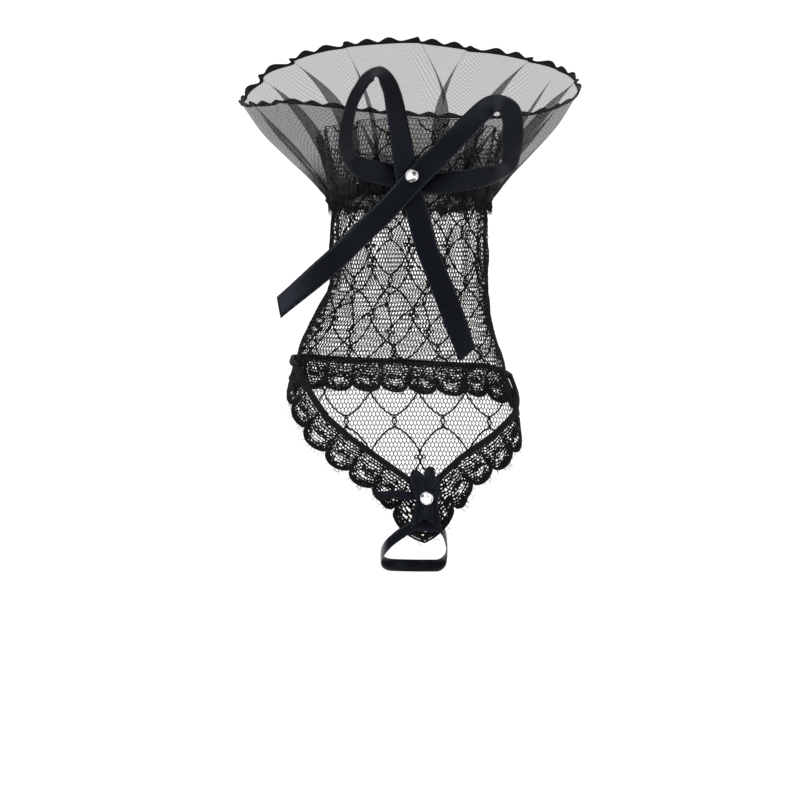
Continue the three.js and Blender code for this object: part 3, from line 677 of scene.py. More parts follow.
def net_edges(number: np.ndarray, up: np.ndarray, joined: bool) -> np.ndarray:
    """List the edges of a hexagonal net.

    Args:
        number: Point numbers by column and row.
        up: 1 where a point is drawn up and -1 where it is drawn down.
        joined: Whether the last column meets the first.

    Returns:
        The zigzag rows, then the bars between them.
    """
    columns = len(number) if joined else len(number) - 1
    after = np.roll(number, -1, 0)
    zigzag = np.stack([number[:columns].ravel(), after[:columns].ravel()], 1)
    low = up[:, :-1] < 0
    bars = np.stack([number[:, :-1][low], number[:, 1:][low]], 1)
    return np.concatenate([zigzag, bars])


class GeometryTree:
    """A Geometry Nodes tree with named inputs and helpers to apply it."""

    def __init__(self, name: str, sockets: dict[str, str]) -> None:
        """Open an empty tree.

        Args:
            name: The tree's name.
            sockets: Input names to socket types, after the geometry.
        """
        self.tree = bpy.data.node_groups.new(name, "GeometryNodeTree")
        face = self.tree.interface
        face.new_socket("Geometry", in_out="INPUT", socket_type="NodeSocketGeometry")
        for label, kind in sockets.items():
            face.new_socket(label, in_out="INPUT", socket_type=kind)
        face.new_socket("Geometry", in_out="OUTPUT", socket_type="NodeSocketGeometry")
        self.entry = add_node(self.tree, "NodeGroupInput")

    def finish(self, geometry: bpy.types.NodeSocket) -> None:
        """End the tree in Realize Instances and Set Material."""
        real = add_node(self.tree, "GeometryNodeRealizeInstances", inputs={"Geometry": geometry})
        dressed = add_node(self.tree, "GeometryNodeSetMaterial", inputs={
            "Geometry": real.outputs[0], "Material": self.entry.outputs["Material"]})
        add_node(self.tree, "NodeGroupOutput", inputs={"Geometry": dressed.outputs[0]})

    def apply(self, name: str, source: bpy.types.Mesh, values: dict) -> bpy.types.Object:
        """Run the tree on a mesh and keep the result as a plain mesh object.

        Args:
            name: The finished piece's name.
            source: The mesh that the tree starts from.
            values: Input names to values.

        Returns:
            The finished object.
        """
        holder = place(source, name + "_paths")
        modifier = holder.modifiers.new("shape", "NODES")
        modifier.node_group = self.tree
        for item in self.tree.interface.items_tree:
            if item.in_out == "INPUT" and item.name in values:
                modifier[item.identifier] = values[item.name]
        evaluated = holder.evaluated_get(bpy.context.evaluated_depsgraph_get())
        mesh = bpy.data.meshes.new_from_object(evaluated)
        mesh.name = name
        holder.modifiers.remove(modifier)
        bpy.data.objects.remove(holder)
        return place(mesh, name)


def cord_tree() -> GeometryTree:
    """Build the tree that turns edges into round cords."""
    made = GeometryTree("cord along edges", {
        "Thickness": "NodeSocketFloat", "Sides": "NodeSocketInt", "Ends closed": "NodeSocketBool",
        "Material": "NodeSocketMaterial"})
    tree, entry = made.tree, made.entry
    half = math_node(tree, "MULTIPLY", entry.outputs["Thickness"], 0.5)
    path = add_node(tree, "GeometryNodeMeshToCurve", inputs={"Mesh": entry.outputs["Geometry"]})
    worked = add_node(tree, "GeometryNodeInputNamedAttribute", {"data_type": "FLOAT"},
                      {"Name": "swell"})
    swell = add_node(tree, "GeometryNodeSwitch", {"input_type": "FLOAT"}, {
        "Switch": worked.outputs["Exists"], "False": 1.0, "True": worked.outputs[0]})
    section = add_node(tree, "GeometryNodeCurvePrimitiveCircle", inputs={
        "Resolution": entry.outputs["Sides"], "Radius": half})
    tube = add_node(tree, "GeometryNodeCurveToMesh", inputs={
        "Curve": path.outputs[0], "Profile Curve": section.outputs[0],
        "Scale": swell.outputs[0], "Fill Caps": entry.outputs["Ends closed"]})
    made.finish(tube.outputs[0])
    return made


def knot_tree() -> GeometryTree:
    """Build the tree that sets a knot on each point, facing out and standing upright."""
    made = GeometryTree("knot on points", {
        "Knot": "NodeSocketObject", "Material": "NodeSocketMaterial"})
    tree, entry = made.tree, made.entry
    facing = add_node(tree, "GeometryNodeInputNamedAttribute", {"data_type": "FLOAT_VECTOR"},
                      {"Name": "facing"})
    upright = add_node(tree, "GeometryNodeInputNamedAttribute", {"data_type": "FLOAT_VECTOR"},
                       {"Name": "upright"})
    turn = add_node(tree, "FunctionNodeAxesToRotation",
                    {"primary_axis": "Z", "secondary_axis": "Y"},
                    {0: facing.outputs[0], 1: upright.outputs[0]})
    knot = add_node(tree, "GeometryNodeObjectInfo", inputs={"Object": entry.outputs["Knot"]})
    points = add_node(tree, "GeometryNodeMeshToPoints", inputs={"Mesh": entry.outputs["Geometry"]})
    copies = add_node(tree, "GeometryNodeInstanceOnPoints", inputs={
        "Points": points.outputs[0], "Instance": knot.outputs["Geometry"],
        "Rotation": turn.outputs[0]})
    made.finish(copies.outputs[0])
    return made


@dataclass(frozen=True)
class ThreadFinish:
    """Twisted polyester thread, which looks matt with a faint sheen along its lay."""

    name: str
    colour: str
    light_colour: str
    roughness: float = 0.62
    lay_mm: float = 0.45
    relief_mm: float = 0.1
    band_scale: float = 0.3
    patch_scale: float = 120.0

    def make(self) -> bpy.types.Material:
        """Build the material.

        Returns:
            A material whose fine slanted bands stand for the twist of the thread, drawn at
            0.45 mm because the real 0.1 mm lay is too fine to show.
        """
        material, tree = open_material(self.name)
        spot = add_node(tree, "ShaderNodeTexCoord").outputs["Object"]
        lay = add_node(tree, "ShaderNodeTexWave", {"wave_type": "BANDS", "bands_direction": "DIAGONAL"},
                       {"Vector": spot, "Scale": self.band_scale / (self.lay_mm * MM),
                        "Distortion": 2.0, "Detail": 2.0})
        patches = noise(tree, spot, self.patch_scale, 3.0)
        close_material(tree, {
            "Base Color": mix_colour(tree, patches, self.colour, self.light_colour),
            "Roughness": self.roughness,
            "Normal": bump(tree, lay.outputs["Fac"], 0.5, self.relief_mm),
            "Sheen Weight": 0.04, "Sheen Roughness": 0.4, "Specular IOR Level": 0.12})
        return material


@dataclass(frozen=True)
class TulleFinish:
    """Fine nylon tulle, a sheer grey veil that darkens where it is gathered or doubled."""

    name: str = "nylon_tulle_black"
    colour: str = "#141314"
    light_colour: str = "#2a2828"
    cell_mm: float = 0.8
    cut_width_mm: float = 345.0
    cut_height_mm: float = 44.0
    rim_cover: float = 0.52
    foot_cover: float = 0.94
    crease_cover: float = 0.45
    gathered_up_to: float = 0.42
    streaks_round: float = 150.0
    relief_mm: float = 0.1

    def threads(self, tree: bpy.types.NodeTree, at: bpy.types.NodeSocket) -> bpy.types.NodeSocket:
        """Draw the hexagonal mesh from three crossing waves.

        Args:
            tree: The material's tree.
            at: The place on the cut of cloth.

        Returns:
            A value that is one on the threads and nought inside the cells.
        """
        turns = TAU / (self.cell_mm * math.sqrt(3) / 2)
        waves = []
        for angle in (0, math.pi / 3, -math.pi / 3):
            along = (math.sin(angle) * turns * self.cut_width_mm,
                     math.cos(angle) * turns * self.cut_height_mm, 0.0)
            ramp = add_node(tree, "ShaderNodeVectorMath", {"operation": "DOT_PRODUCT"},
                            {0: at, 1: along})
            waves.append(math_node(tree, "COSINE", ramp.outputs["Value"]))
        cells = math_node(tree, "ADD", math_node(tree, "ADD", waves[0], waves[1]), waves[2])
        return map_range(tree, cells, (-0.9, 0.6), (1.0, 0.0))

    def cover(self, tree: bpy.types.NodeTree, at: bpy.types.NodeSocket) -> bpy.types.NodeSocket:
        """Give how much the cloth covers, more in streaks towards its gathered foot."""
        height = add_node(tree, "ShaderNodeSeparateXYZ", inputs={0: at}).outputs["Y"]
        streaks_at = add_node(tree, "ShaderNodeMapping", inputs={
            "Vector": at, "Scale": (self.streaks_round, 1.3, 1.0)})
        streaks = noise(tree, streaks_at.outputs[0], 1.0, 3.0, 0.6)
        gathered = map_range(tree, height, (-0.05, self.gathered_up_to), (1.0, 0.0), smooth=True)
        crowd = math_node(tree, "MULTIPLY_ADD", streaks, 0.9, 0.45)
        dark = math_node(tree, "MULTIPLY", gathered, crowd)
        return map_range(tree, dark, (0.0, 1.0), (self.rim_cover, self.foot_cover))

    def make(self) -> bpy.types.Material:
        """Build the material.

        Returns:
            A material that lets light through between its threads, less of it along the
            creases. The real mesh of 0.6 mm is drawn at 0.8 mm so that it shows.
        """
        material, tree = open_material(self.name)
        material.surface_render_method = "BLENDED"
        at = add_node(tree, "ShaderNodeUVMap", {"uv_map": "cloth"}).outputs[0]
        thread = self.threads(tree, at)
        woven = math_node(tree, "MULTIPLY_ADD", thread, 0.36, 0.84)
        sheer = math_node(tree, "MULTIPLY", self.cover(tree, at), woven)
        crease = add_node(tree, "ShaderNodeAttribute", {"attribute_name": "crease"}).outputs["Fac"]
        close_material(tree, {
            "Base Color": mix_colour(tree, thread, self.light_colour, self.colour),
            "Roughness": 0.7,
            "Alpha": math_node(tree, "MULTIPLY_ADD", crease, self.crease_cover, sheer, clamp=True),
            "Normal": bump(tree, thread, 0.3, self.relief_mm),
            "Sheen Weight": 0.05, "Specular IOR Level": 0.12})
        return material


@dataclass(frozen=True)
class SatinFinish:
    """Woven polyester satin ribbon, deep black with a soft blue sheen and stitched selvedges, the real
    stitches painted lighter as a painted highlight.
    """

    name: str
    length_mm: float
    width_mm: float
    colour: str = "#040507"
    light_colour: str = "#090b10"
    # The stitches' lighter colour is a painted highlight on real stitches.
    stitch_highlight_colour: str = "#2b2e34"
    sheen_colour: str = "#27364d"
    gloss_colour: str = "#c6d2e8"
    rib_mm: float = 0.3
    stitch_mm: float = 1.1
    warp_mm: tuple[float, float] = (6.0, 0.2)
    relief_mm: float = 0.12

    def stitches(self, tree: bpy.types.NodeTree, along: bpy.types.NodeSocket,
                 across: bpy.types.NodeSocket) -> bpy.types.NodeSocket:
        """Draw a row of short stitches near each edge and give the row's socket, which also places the
        stitches' painted highlight.
        """
        aside = math_node(tree, "ABSOLUTE", math_node(tree, "SUBTRACT", across, 0.5))
        selvedge = map_range(tree, aside, (0.425, 0.45), smooth=True)
        turns = math_node(tree, "MULTIPLY", along, self.length_mm / self.stitch_mm * TAU)
        dash = map_range(tree, math_node(tree, "SINE", turns), (0.1, 0.6))
        return math_node(tree, "MULTIPLY", dash, selvedge)

    def make(self) -> bpy.types.Material:
        """Build the material.

        Returns:
            A material with fine ribs across the ribbon and a row of real stitches near each edge,
            painted lighter as a painted highlight.
            The real 0.15 mm weft is drawn at 0.3 mm so that it shows.
        """
        material, tree = open_material(self.name)
        at = add_node(tree, "ShaderNodeUVMap", {"uv_map": "cloth"}).outputs[0]
        split = add_node(tree, "ShaderNodeSeparateXYZ", inputs={0: at})
        along, across = split.outputs["X"], split.outputs["Y"]
        turns = math_node(tree, "MULTIPLY", along, self.length_mm / self.rib_mm * TAU)
        warp_at = add_node(tree, "ShaderNodeMapping", inputs={"Vector": at, "Scale": (
            self.length_mm / self.warp_mm[0], self.width_mm / self.warp_mm[1], 1.0)})
        warp = noise(tree, warp_at.outputs[0], 1.0, 2.0)
        stitched = self.stitches(tree, along, across)
        ribs = math_node(tree, "MULTIPLY_ADD", math_node(tree, "SINE", turns), 0.12, warp)
        height = math_node(tree, "MULTIPLY_ADD", stitched, 0.8, ribs)
        body = mix_colour(tree, warp, self.colour, self.light_colour)
        close_material(tree, {
            # The stitches take the lighter colour here: a painted highlight on the real selvedge
            # stitches.
            "Base Color": mix_colour(tree, stitched, body, self.stitch_highlight_colour),
            "Roughness": map_range(tree, warp, (0.3, 0.7), (0.28, 0.38)),
            "Normal": bump(tree, height, 0.35, self.relief_mm),
            "Sheen Weight": 0.02, "Sheen Roughness": 0.3, "Sheen Tint": linear(self.sheen_colour),
            "Specular IOR Level": 0.16, "Specular Tint": linear(self.gloss_colour),
            "Anisotropic": 0.4})
        return material


@dataclass(frozen=True)
class CrystalFinish:
    """Foil-backed glass stone, white with a few facets painted dark as a painted reflection of the
    room.
    """

    name: str = "foiled_glass_crystal"
    colour: str = "#ffffff"
    # The dark facets' colour is a painted reflection of the room, not a colour of the glass.
    painted_reflection_colour: str = "#5c6168"
    facets_a_metre: float = 900.0

    def make(self) -> bpy.types.Material:
        """Build the material.

        Returns:
            A mirror-like white material with about one facet in five painted dark, a painted reflection
            of the room such as a foiled stone shows.
        """
        material, tree = open_material(self.name)
        spot = add_node(tree, "ShaderNodeTexCoord").outputs["Object"]
        facets = add_node(tree, "ShaderNodeTexVoronoi", {"feature": "F1"}, {
            "Vector": spot, "Scale": self.facets_a_metre})
        chance = add_node(tree, "ShaderNodeSeparateXYZ", inputs={0: facets.outputs["Color"]})
        # About one cell in five is painted dark here: a painted reflection of the room.
        clear_of_painted_reflection = map_range(tree, chance.outputs["X"], (0.16, 0.22))
        close_material(tree, {
            "Base Color": mix_colour(tree, clear_of_painted_reflection, self.painted_reflection_colour, self.colour),
            "Roughness": 0.08, "Metallic": 0.35, "Coat Weight": 1.0, "Coat Roughness": 0.02,
            "IOR": 1.54})
        return material


@dataclass(frozen=True)
class PaperFinish:
    """Matt white studio paper, which shows no grain at this distance."""

    name: str = "studio_paper"
    colour: str = "#fbfbfb"
    roughness: float = 0.9

    def make(self) -> bpy.types.Material:
        """Build the material of the floor and backdrop."""
        material, tree = open_material(self.name)
        close_material(tree, {"Base Color": linear(self.colour), "Roughness": self.roughness})
        return material


class Wardrobe:
    """The finishes and the trees that all pieces share."""

    def __init__(self) -> None:
        """Make each material and tree once."""
        self.net = ThreadFinish("polyester_net_thread", "#0c0b0b", "#151313").make()
        self.cord = ThreadFinish("cotton_lace_cord", "#070606", "#0e0c0d", 0.7, 0.5).make()
        self.braid = ThreadFinish("rayon_braid_cord", "#040405", "#0a0b0e", 0.5, 0.6).make()
        self.elastic = ThreadFinish("covered_elastic", "#0a090a", "#151314", 0.66, 0.5).make()
        self.tulle = TulleFinish().make()
        self.crystal = CrystalFinish().make()
        self.cords = cord_tree()
        self.knots = knot_tree()

    def weave(self, name: str, points: np.ndarray, edges: np.ndarray, thickness: float,
              sides: int, material: bpy.types.Material, closed: bool = True,
              swell: np.ndarray | None = None) -> bpy.types.Object:
        """Turn paths in millimetres into round cords.

        Args:
            name: The piece's name.
            points: Points of the paths in millimetres.
            edges: Pairs of point numbers.
            thickness: The cord's thickness in millimetres.
            sides: Sides of the cord's section.
            material: The cord's material.
            closed: Whether the ends are closed.
            swell: How many times the thickness the cord has at each point.

        Returns:
            The finished object.
        """
        paths = mesh_from(name, points, [], edges)
        if swell is not None:
            store(paths, "swell", swell)
        made = self.cords.apply(name, paths, {
            "Thickness": thickness * MM, "Sides": sides, "Ends closed": closed,
            "Material": material})
        shade_smooth(made.data)
        return made


def report(piece: bpy.types.Object, slot: str, *nodes: str) -> bpy.types.Object:
    """Ride a piece on the cuff, hide the CAD parts that it stands for, and log it."""
    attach(piece, BODY)
    if nodes:
        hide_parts(*nodes)
    LOG.info("%s: %d faces", piece.name, len(piece.data.polygons))
    return piece


@dataclass
class LaceNet:
    """The hexagonal net of the sleeve and its frill, with corded ovals and knots."""

    form: HandForm
    wardrobe: Wardrobe
    columns: int = 156
    row_pitch: float = 1.34
    zigzag: float = 0.36
    strand: float = 0.3
    cord: float = 0.56
    ovals: int = 12
    oval_height: float = 21.5
    flower_row: float = -17.3
    last_row: int = 5
    arc_start: float = 0.17
    arc_span: float = 0.67
    raggedness: float = 0.0007
    knot_cord: float = 0.5
    edge_cord: float = 0.26

    def drift(self, height: np.ndarray) -> np.ndarray:
        """Give how far the columns drift round the sleeve at a height."""
        return smooth_table(NET_DRIFT[:, 0], NET_DRIFT[:, 1], height)

    def strands(self, side: Side) -> bpy.types.Object:
        """Weave the net of one half."""
        form, top = self.form, self.form.frill_height
        rows = int((top + form.reach) / self.row_pitch) + 2
        k, j = np.meshgrid(np.arange(self.columns + 1), np.arange(rows), indexing="ij")
        start = -0.25 if side is Side.BACK_OF_HAND else 0.25
        up = np.where((k + j) % 2 == 0, 1.0, -1.0)
        height = np.minimum(top - (j + 0.5) * self.row_pitch + up * self.zigzag, top)
        around = start + k / (2 * self.columns) + self.drift(height)
        points = form.net(around.ravel(), height.ravel())
        above_hem = height.ravel() > form.hem_height(around.ravel())
        edges = net_edges(k * rows + j, up, False)
        edges = edges[above_hem[edges].all(1)]
        return self.wardrobe.weave("net_" + side.value, points, edges, self.strand, 3,
                                   self.wardrobe.net, closed=False)

    def arcs(self) -> tuple[np.ndarray, np.ndarray]:
        """Lay the cords of the ovals.

        Returns:
            Points and edges of the cords.
        """
        form = self.form
        t = np.linspace(0, 1, len(RAGGED_STEPS)) ** 1.5
        bow_out = t ** 0.6 * 0.5 / self.ovals
        ragged = self.raggedness * RAGGED_STEPS
        points, edges, count = [], [], 0
        first = math.ceil((form.frill_height - self.flower_row) / self.oval_height)
        for row, column, ring_side, up in product(
                range(-first, self.last_row), range(self.ovals), (-1, 1), (-1, 1)):
            flower = self.flower_row - row * self.oval_height
            ring = flower + up * self.oval_height / 2
            height = ring + (flower - ring) * (self.arc_start + t * self.arc_span)
            around = (column + 0.5 * ring_side) / self.ovals - ring_side * bow_out
            around = around + ragged + self.drift(height)
            keep = (height < form.frill_height) & (height > form.hem_height(around))
            kept = int(keep.sum())
            if kept < 2:
                continue
            points.append(form.net(around[keep], height[keep], 0.12))
            edges.append(path_edges(1, kept) + count)
            count += kept
        return np.concatenate(points), np.concatenate(edges)

    def knot_points(self, flowers: bool) -> bpy.types.Mesh:
        """Place the flower knots or the ring knots, with the way each one faces."""
        spots = []
        aside = 0.0 if flowers else 0.5
        for row, column in product(range(-2, self.last_row), range(self.ovals)):
            height = self.flower_row - (row - aside) * self.oval_height
            share = (column + aside) / self.ovals + float(self.drift(np.array([height]))[0])
            hem = float(self.form.hem_height(np.array([share]))[0])
            hidden = -self.form.elastic_drop - 2 < height < self.form.elastic_rise + 1
            if hem + 1.5 < height < self.form.frill_height - 2 and not hidden:
                spots.append((share, height))
        around, height = np.array(spots).T
        points = self.form.net(around, height, 0.2)
        step = 0.003
        right = self.form.net(around + step, height) - self.form.net(around - step, height)
        above = self.form.net(around, height + 1) - self.form.net(around, height - 1)
        facing = np.cross(right, above)
        mesh = mesh_from("knot_points", points, [])
        for name, vectors in (("facing", facing), ("upright", above)):
            store(mesh, name, vectors / np.linalg.norm(vectors, axis=1, keepdims=True))
        return mesh

    def knot(self, flower: bool) -> bpy.types.Object:
        """Make one knot: a stitched ring, with four petals on a flower."""
        sides = 10
        angle = np.arange(sides) * TAU / sides
        points, edges = [], []
        for row, (x, y, wide, tall) in enumerate(FLOWER_RINGS if flower else PLAIN_RINGS):
            points.append(np.column_stack([
                x + wide * np.cos(angle), y + tall * np.sin(angle), np.zeros(sides)]))
            edges.append(ring_edges(sides, row * sides))
        return self.wardrobe.weave("knot_pattern", np.concatenate(points), np.concatenate(edges),
                                   self.knot_cord, 5, self.wardrobe.cord)

    def build(self) -> None:
        """Make the net, its cords, its knots and the frill's edge."""
        wardrobe = self.wardrobe
        pieces = [self.strands(Side.BACK_OF_HAND), self.strands(Side.PALM)]
        points, edges = self.arcs()
        pieces.append(wardrobe.weave("net_cords", points, edges, self.cord, 5, wardrobe.cord))
        for flowers, name in ((True, "flower_knots"), (False, "ring_knots")):
            pattern = self.knot(flowers)
            made = wardrobe.knots.apply(name, self.knot_points(flowers), {
                "Knot": pattern, "Material": wardrobe.cord})
            bpy.data.objects.remove(pattern)
            shade_smooth(made.data)
            pieces.append(made)
        steps = 480
        around = np.arange(steps) / steps
        rim = self.form.net(around, np.full(steps, self.form.frill_height - 0.15))
        pieces.append(wardrobe.weave("frill_edge", rim, ring_edges(steps), self.edge_cord, 5,
                                     wardrobe.cord))
        for piece in pieces:
            report(piece, "net", "lace_sleeve")
        for piece in pieces[:2]:
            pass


@dataclass
class Ruffle:
    """The flared tulle ruffle and its scalloped edging."""

    form: HandForm
    wardrobe: Wardrobe
    width: float = 106.6
    front: float = 40.2
    back: float = 33.0
    height: float = 39.8
    roundness: float = 2.1
    fold_depth: float = 8.0
    fold_width: float = 0.62
    fold_bend: float = 0.0024
    crease_width: float = 0.34
    sway: float = 0.5
    sways: int = 19
    foot_gap: float = 1.7
    columns: int = 960
    rows: int = 34
    edging: float = 0.75
    edging_from: float = 0.96
    overlap: float = 0.15
    scallop: float = 1.2
    scallop_power: float = 0.85
    scallops: int = 44

    def __post_init__(self) -> None:
        """Measure the ruffle's sections."""
        up = np.linspace(0, 1.05, 60)
        flare = smooth_table(RUFFLE_PROFILE[:, 0], RUFFLE_PROFILE[:, 1], np.minimum(up, 1))
        flare += np.maximum(up - 1, 0) * 0.8
        foot_half = self.form.wrist_width / 2 + self.foot_gap
        foot_depth = self.form.wrist_depth / 2 + self.foot_gap
        aside = SLEEVE_SECTIONS[0, 3] * self.form.hand_width
        sections = np.stack([
            blend(foot_half, self.width / 2, flare), blend(foot_depth, self.front, flare),
            blend(foot_depth, self.back, flare), np.full(len(up), aside),
            blend(self.form.roundness, self.roundness, flare)], 1)
        self.field = SectionField(up, sections)
        self.foot = self.form.elastic_rise + 0.3

    def point(self, around: np.ndarray, up: np.ndarray) -> np.ndarray:
        """Place points of the ruffle, with its folds leaning over, in millimetres."""
        press, slide = np.zeros(len(around)), np.zeros(len(around))
        girth = np.interp(up, self.field.levels, self.field.girth)
        lean_over = np.sin(np.pi * np.clip(0.12 + 0.74 * up, 0, 1))
        for centre, spread, depth, lean, drift in RUFFLE_FOLDS:
            bend = self.fold_bend * lean * np.sin(np.pi * up)
            away = wrap(around - centre - drift * (1 - up) - bend + 0.5) - 0.5
            bell = np.exp(-((away / (self.fold_width * spread)) ** 2))
            press += depth * bell
            slide += lean * bell * lean_over
        fold = smooth_table(RUFFLE_PROFILE[:, 0], RUFFLE_PROFILE[:, 2], np.minimum(up, 1))
        out = self.sway * fold * np.cos(TAU * self.sways * around + 1.0)
        out = out - self.fold_depth * fold * press
        for level, spread, size, waves, start in RUFFLE_RIPPLES:
            near = np.exp(-((up - level) / spread) ** 2)
            out += size * near * np.cos(TAU * waves * around + start)
        spot, outward = self.field.walk(around + slide / girth, up)
        spot = spot + outward * out[:, None]
        rim = self.height * smooth_table(RUFFLE_RIM[:, 0], RUFFLE_RIM[:, 1], wrap(around))
        return np.column_stack([spot, self.foot + up * (rim - self.foot)])

    def grid(self, around: np.ndarray, up: np.ndarray) -> np.ndarray:
        """Place a grid of columns by rows."""
        a, u = np.meshgrid(around, up, indexing="ij")
        return self.point(a.ravel(), u.ravel()).reshape(len(around), len(up), 3)

    def build_cloth(self) -> bpy.types.Object:
        """Make the sheet of tulle, and store where it is creased."""
        around = np.arange(self.columns) / self.columns
        up = np.linspace(0, 1, self.rows)
        grid = self.grid(around, up)
        mesh = mesh_from("tulle_cloth", grid.reshape(-1, 3),
                         sheet_faces(self.columns, self.rows, True))
        step = np.linalg.norm(np.roll(grid, -1, 0) - np.roll(grid, 1, 0), axis=2)
        tight = step / np.median(step, axis=0, keepdims=True)
        crease = np.exp(-(tight / self.crease_width) ** 2) * (1 - 0.55 * up[None, :])
        store(mesh, "crease", crease.ravel())
        set_uv(mesh, np.stack([np.repeat(around, self.rows), np.tile(up, self.columns)], 1))
        shade_smooth(mesh)
        mesh.materials.append(self.wardrobe.tulle)
        return place(mesh, "tulle_cloth")

    def build_edging(self) -> bpy.types.Object:
        """Make the dense scalloped edging along the rim."""
        steps = self.scallops * 22
        around = np.arange(steps) / steps
        rim = self.grid(around, np.array([self.edging_from, 1.0]))
        slope = rim[:, 1] - rim[:, 0]
        slope /= np.linalg.norm(slope, axis=1, keepdims=True)
        phase = 2 * (wrap(around * self.scallops + 0.5) - 0.5)
        wave = (0.5 + 0.5 * np.cos(np.pi * phase)) ** self.scallop_power
        share, crown = EDGING_SECTION.T
        reach = (self.edging + self.scallop * wave)[:, None] * share[None, :] - self.overlap
        points = rim[:, 1][:, None, :] + slope[:, None, :] * reach[..., None]
        made = wall_piece("edging_band", points, crown, True, self.wardrobe.cord)
        shade_smooth(made.data)
        return made

    def build(self) -> None:
        """Make the ruffle's pieces."""
        cloth = report(self.build_cloth(), "tulle", "tulle_ruffle")
        report(self.build_edging(), "edging", "ruffle_edging")


@dataclass
class HemBorder:
    """The scalloped border lace, its cords and the braid over the seam."""

    form: HandForm
    wardrobe: Wardrobe
    scallops: int = 23
    valley: float = 0.7
    point_reach: float = 1.5
    seam: float = 0.3
    net_pitch: float = 1.0
    strand: float = 0.4
    net_rows: int = 11
    jitter: float = 0.16
    lean: float = 0.18
    cord_out: float = 0.18
    braid_pitch: float = 1.7

    def phase(self, along: np.ndarray) -> np.ndarray:
        """Give the place across a scallop, from -1 to 1."""
        return 2 * (wrap(along * self.scallops + 0.5) - 0.5)

    def reach(self, along: np.ndarray) -> np.ndarray:
        """Give the border's depth in millimetres at shares of the hem's length."""
        phase = self.phase(along)
        leaning = phase + self.lean * (1 - phase ** 2)
        scallop = np.sqrt(np.maximum(0, 1 - leaning ** 2)) ** 0.9
        from_point = np.abs(wrap(along + 0.5) - 0.5) * self.scallops
        point = 1 + (self.point_reach - 1) * np.clip(1 - from_point, 0, 1)
        return self.form.trim_depth * point * (self.valley + (1 - self.valley) * scallop)

    def spot(self, along: np.ndarray, share: np.ndarray, outward: float = 0.0) -> np.ndarray:
        """Place points at a share of the border's depth."""
        below = self.seam + share * (self.reach(along) - self.seam)
        return self.form.hem(along, below, np.full(len(along), outward))

    def worked(self, phase: np.ndarray, depth: np.ndarray) -> np.ndarray:
        """Give how much thicker the lace is worked at a place in its repeat.

        Args:
            phase: Place across the scallop, from -1 to 1.
            depth: Place from the hem (0) to the edge (1).

        Returns:
            A factor on the strand's thickness.
        """
        def inside(across: float, deep: float, half: float, tall: float) -> np.ndarray:
            """Tell which places lie inside an oval of the repeat."""
            return ((phase - across) / half) ** 2 + ((depth - deep) / tall) ** 2 < 1

        swell = 1.0 + 0.4 * np.random.default_rng(3).random(phase.shape)
        leaf, eyelet = inside(0.1, 0.5, 0.42, 0.06), inside(0.0, 0.71, 0.46, 0.085)
        valley = (np.abs(phase) > 0.8) & (depth > 0.5)
        swell = np.where(leaf | valley, 1.9, swell)
        swell = np.where(depth > 0.86, 2.2, swell)
        return np.where(eyelet, 0.62, swell)

    def net(self) -> bpy.types.Object:
        """Weave the border's ground, thickened into its figures."""
        columns, rows = int(self.form.hem_length / self.net_pitch), self.net_rows
        k, j = np.meshgrid(np.arange(2 * columns), np.arange(rows), indexing="ij")
        up = np.where((k + j) % 2 == 0, 1.0, -1.0)
        random = np.random.default_rng(5)
        along = (k + self.jitter * random.normal(size=k.shape)) / (2 * columns)
        depth = (j + 0.5 + up * 0.24 + self.jitter * random.normal(size=k.shape)) / (rows + 0.3)
        points = self.spot(along.ravel(), depth.ravel())
        edges = net_edges(k * rows + j, up, True)
        wide = np.maximum(self.reach(along.ravel()) / self.form.trim_depth, 1) ** 1.5
        swell = self.worked(self.phase(along), depth).ravel() * wide
        return self.wardrobe.weave("border_net", points, edges, self.strand, 3,
                                   self.wardrobe.cord, closed=False, swell=swell)

    def edge_line(self, share: float, outward: float) -> tuple[np.ndarray, np.ndarray]:
        """Lay a closed line round the border at a share of its depth."""
        steps = self.scallops * 28
        along = np.arange(steps) / steps
        return self.spot(along, np.full(steps, share), outward), ring_edges(steps)

    def motif(self, name: str, thickness: float, route: np.ndarray) -> bpy.types.Object:
        """Lay the same cord in every scallop.

        Args:
            name: The piece's name.
            thickness: The cord's thickness.
            route: Rows of (phase, depth) along the cord.

        Returns:
            The finished cords.
        """
        steps = 12
        rows = np.linspace(0, len(route) - 1, steps)
        at = np.arange(len(route))
        phase = smooth_table(at, route[:, 0], rows)
        depth = smooth_table(at, route[:, 1], rows)
        random = np.random.default_rng(len(route) + int(thickness * 100))
        uneven = 0.05 * random.normal(size=(self.scallops, 4))
        wave = np.sin(np.pi * np.linspace(0, 1, steps))[None, :]
        centre = np.arange(self.scallops)[:, None] + uneven[:, :1] * wave
        along = ((centre + phase[None, :] / 2) / self.scallops).ravel()
        deep = depth[None, :] + 0.6 * uneven[:, 1:2] * wave
        points = self.spot(along, deep.ravel(), self.cord_out)
        return self.wardrobe.weave(name, points, path_edges(self.scallops, steps), thickness, 6,
                                   self.wardrobe.cord)

    def cords(self) -> list[bpy.types.Object]:
        """Lay the outlines, the leaves and rings, and the stems and hooks in the valleys."""
        weave, cord = self.wardrobe.weave, self.wardrobe.cord
        return [
            weave("border_outline", *self.edge_line(1.0, 0.1), 0.74, 6, cord),
            weave("border_inline", *self.edge_line(0.955, 0.1), 0.42, 5, cord),
            *(self.motif(*row) for row in BORDER_CORDS),
        ]

